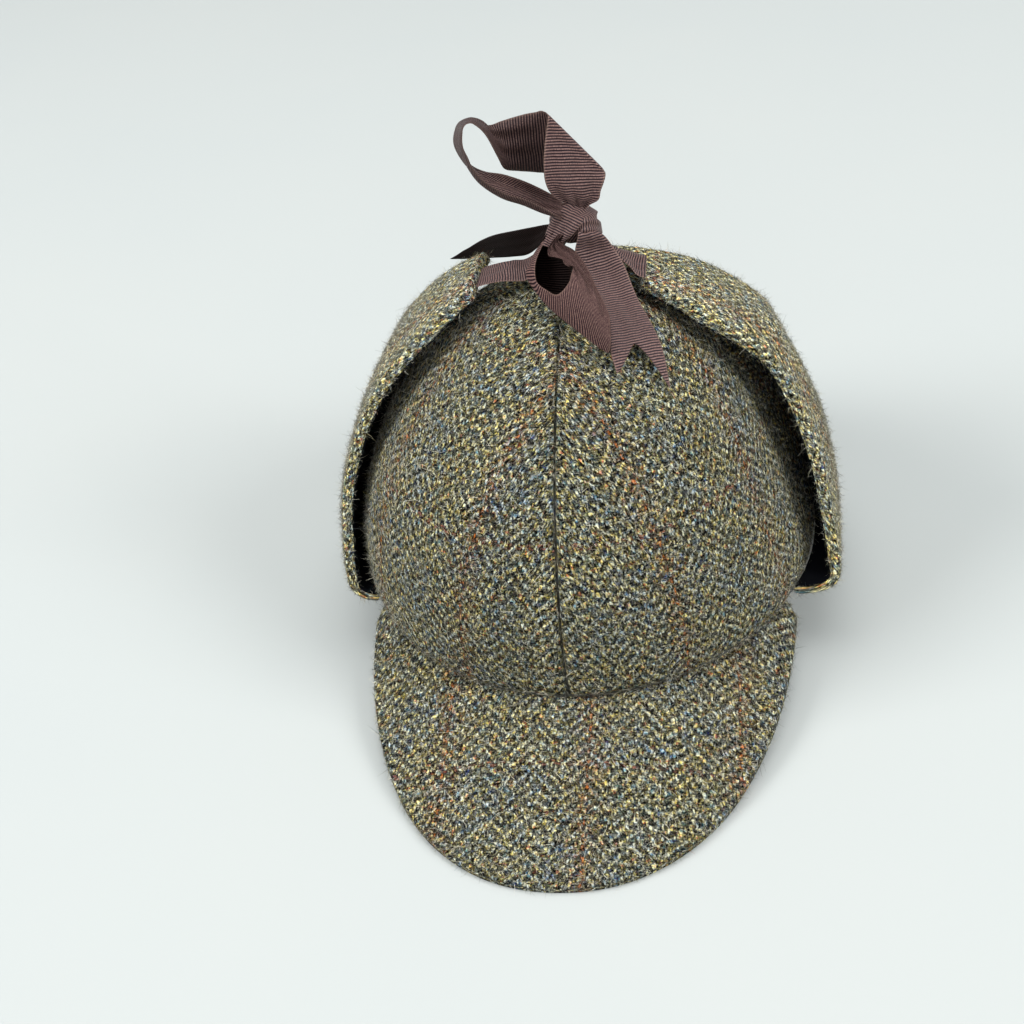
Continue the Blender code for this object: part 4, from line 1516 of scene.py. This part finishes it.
@dataclass
class Knot:
    """The knot: a lump of ribbon with a broad turn and a band of it drawn over."""

    lump_turn: float = math.radians(-30.0)
    cloth_radius: float = 9.0 * MM
    fold: float = 0.06
    fold_size: float = 2.3
    turns: tuple = (
        Ribbon("knot_turn_ribbon", "bow_knot", BROAD_TURN, Tied.NEITHER, 0.35 * MM, held=None),
        Ribbon("knot_band_ribbon", "bow_knot", BAND, Tied.NEITHER, 0.3 * MM, held=None, pleats=1.0),
    )

    def build(self) -> bpy.types.Object:
        """Builds the lump."""
        bm = bmesh.new()
        bmesh.ops.create_uvsphere(bm, u_segments=40, v_segments=24, radius=1.0)
        cloth_map = bm.loops.layers.uv.new("cloth")
        turn = Matrix.Rotation(self.lump_turn, 3, "Y")
        for face in bm.faces:
            for loop in face.loops:
                spot = turn @ loop.vert.co
                loop[cloth_map].uv = (spot.z * self.cloth_radius, spot.x * self.cloth_radius)
        for vert in bm.verts:
            fold = 1.0 + self.fold * noise.noise(vert.co * self.fold_size)
            vert.co = from_rim([KNOT_CENTRE[i] + vert.co[i] * KNOT_LUMP[i] * fold for i in range(3)])
        return finish_piece("knot_ribbon", bm)

    def dress(self, lump: bpy.types.Object, wardrobe: Wardrobe) -> None:
        """Gives the lump its finish and place in the frame, and draws the turns of ribbon over it."""
        lump.data.materials.append(RibbonFinish("knot_cloth").material(wardrobe.grosgrain))
        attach(lump, BODY)
        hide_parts("bow_knot")
        strips = [turn.build() for turn in self.turns]
        for turn, strip in zip(self.turns, strips):
            turn.dress(strip, wardrobe)
        declare_cloth(lump, Held.GATHERED)


# The studio


@dataclass(frozen=True)
class Studio:
    """The plain pale floor, the soft lights and the camera."""

    camera_place: tuple = (71.3 * MM, -484.4 * MM, 384.5 * MM)
    camera_forward: tuple = (-0.169, 0.796, -0.581)
    camera_down: tuple = (-0.019, -0.592, -0.806)
    focal_pixels: float = 1500.0
    floor_size: float = 6.0
    floor_tones: Rows = ((0.0, 173, 178, 177), (1.0, 178, 181, 178))
    air: Colour = Colour(240, 246, 250)
    air_strength: float = 0.5
    # Each light's name, its place, the point that it faces, its side in metres and its power in watts.
    lights: tuple = (
        ("overhead", (0.1, 0.3, 2.9), (0.0, 0.02, 0.1), 2.2, 46.0),
        ("left_side", (-2.6, -1.0, 2.0), (0.0, 0.0, 0.1), 1.6, 108.0),
        ("right_side", (2.6, -1.0, 2.0), (0.0, 0.0, 0.1), 1.6, 94.0),
        ("front_fill", (0.3, -2.9, 1.7), (0.0, 0.0, 0.1), 1.6, 16.0),
    )

    def build(self) -> None:
        """Builds the floor, the lights, the camera and the view's tones."""
        self.floor()
        for light in self.lights:
            self.light(*light)
        world = bpy.data.worlds.new("studio_air")
        world.use_nodes = True
        air = world.node_tree.nodes["Background"]
        NodeSketch(world.node_tree).fill(air, {"Color": self.air, "Strength": self.air_strength})
        bpy.context.scene.world = world
        bpy.context.scene.view_settings.view_transform = "Standard"
        self.camera()

    def floor(self) -> None:
        """Builds the floor."""
        bm = bmesh.new()
        bmesh.ops.create_grid(bm, x_segments=1, y_segments=1, size=self.floor_size)
        floor = add_item("floor", to_mesh("floor", bm))
        material, sketch, shader = new_material("floor_paper", 0.8, 0.1)
        places = sketch.add("ShaderNodeTexCoord").outputs["Object"]
        tone = sketch.ramp(sketch.noise(places, 3.0, 3.0)[0], self.floor_tones)
        sketch.fill(shader, {"Base Color": tone})
        floor.data.materials.append(material)

    def light(self, name: str, place: tuple, aim: tuple, size: float, power: float) -> None:
        """Adds a large soft light.

        Args:
            name: its name.
            place: where it hangs.
            aim: the point that it faces.
            size: its side in metres.
            power: its power in watts.
        """
        lamp = bpy.data.lights.new(name, "AREA")
        lamp.shape = "SQUARE"
        lamp.size = size
        lamp.energy = power
        item = add_item(name, lamp)
        item.location = place
        item.rotation_mode = "QUATERNION"
        item.rotation_quaternion = (Vector(aim) - Vector(place)).to_track_quat("-Z", "Y")

    def camera(self) -> None:
        """Adds the camera at the photograph's place and angle."""
        lens = bpy.data.cameras.new("studio_camera")
        lens.sensor_width = SENSOR_WIDTH
        lens.lens = self.focal_pixels / IMAGE_WIDTH * SENSOR_WIDTH
        lens.clip_start = 0.01
        item = add_item("studio_camera", lens)
        back = -Vector(self.camera_forward).normalized()
        up = -Vector(self.camera_down)
        up = (up - back * up.dot(back)).normalized()
        turn = Matrix((up.cross(back), up, back)).transposed()
        item.matrix_world = Matrix.Translation(self.camera_place) @ turn.to_4x4()
        bpy.context.scene.camera = item


def main() -> None:
    """Builds the hat and its studio, piece by piece."""
    logging.basicConfig(level=logging.INFO, format="%(message)s")
    for item in list(bpy.data.objects):
        if item.type in {"CAMERA", "LIGHT"}:
            bpy.data.objects.remove(item, do_unlink=True)
    wardrobe = Wardrobe(tweed_group(), grosgrain_group(), FlapShadeFinish().material())
    form = CrownForm()

    Crown(form).build(wardrobe)
    for facing in Facing:
        Peak(form, facing).build(wardrobe)
    EarFlap(form, Side.LEFT, LEFT_FLAP_SECTIONS, 70.6, 0.0).build(wardrobe)
    EarFlap(form, Side.RIGHT, RIGHT_FLAP_SECTIONS, 73.1, 8.0, 0.3).build(wardrobe)

    # The upper loop's, front loop's and left tail's reverse is painted darker, as the shade inside the loops
    # and under the tail.
    for strip in (
        Ribbon("left_tie_ribbon", "left_tie", LEFT_TIE, Tied.END, 0.4 * MM),
        Ribbon("right_tie_ribbon", "right_tie", RIGHT_TIE, Tied.END, 0.4 * MM),
        Ribbon("upper_loop_ribbon", "bow_upper_loop", UPPER_LOOP, Tied.BOTH, shaded_reverse=0.6),
        Ribbon("front_loop_ribbon", "bow_front_loop", FRONT_LOOP, Tied.BOTH, shaded_reverse=0.06),
        Ribbon("left_tail_ribbon", "bow_left_tail", LEFT_TAIL, Tied.START, 0.1 * MM, 0.1, Held.HUNG),
        Ribbon(
            "front_tail_ribbon", "bow_front_tail", FRONT_TAIL, Tied.START, 0.2 * MM, 1.0, Held.HUNG, 11.0 * MM
        ),
    ):
        strip.dress(strip.build(), wardrobe)
    knot = Knot()
    knot.dress(knot.build(), wardrobe)

    Studio().build()


if __name__ == "__main__":
    main()
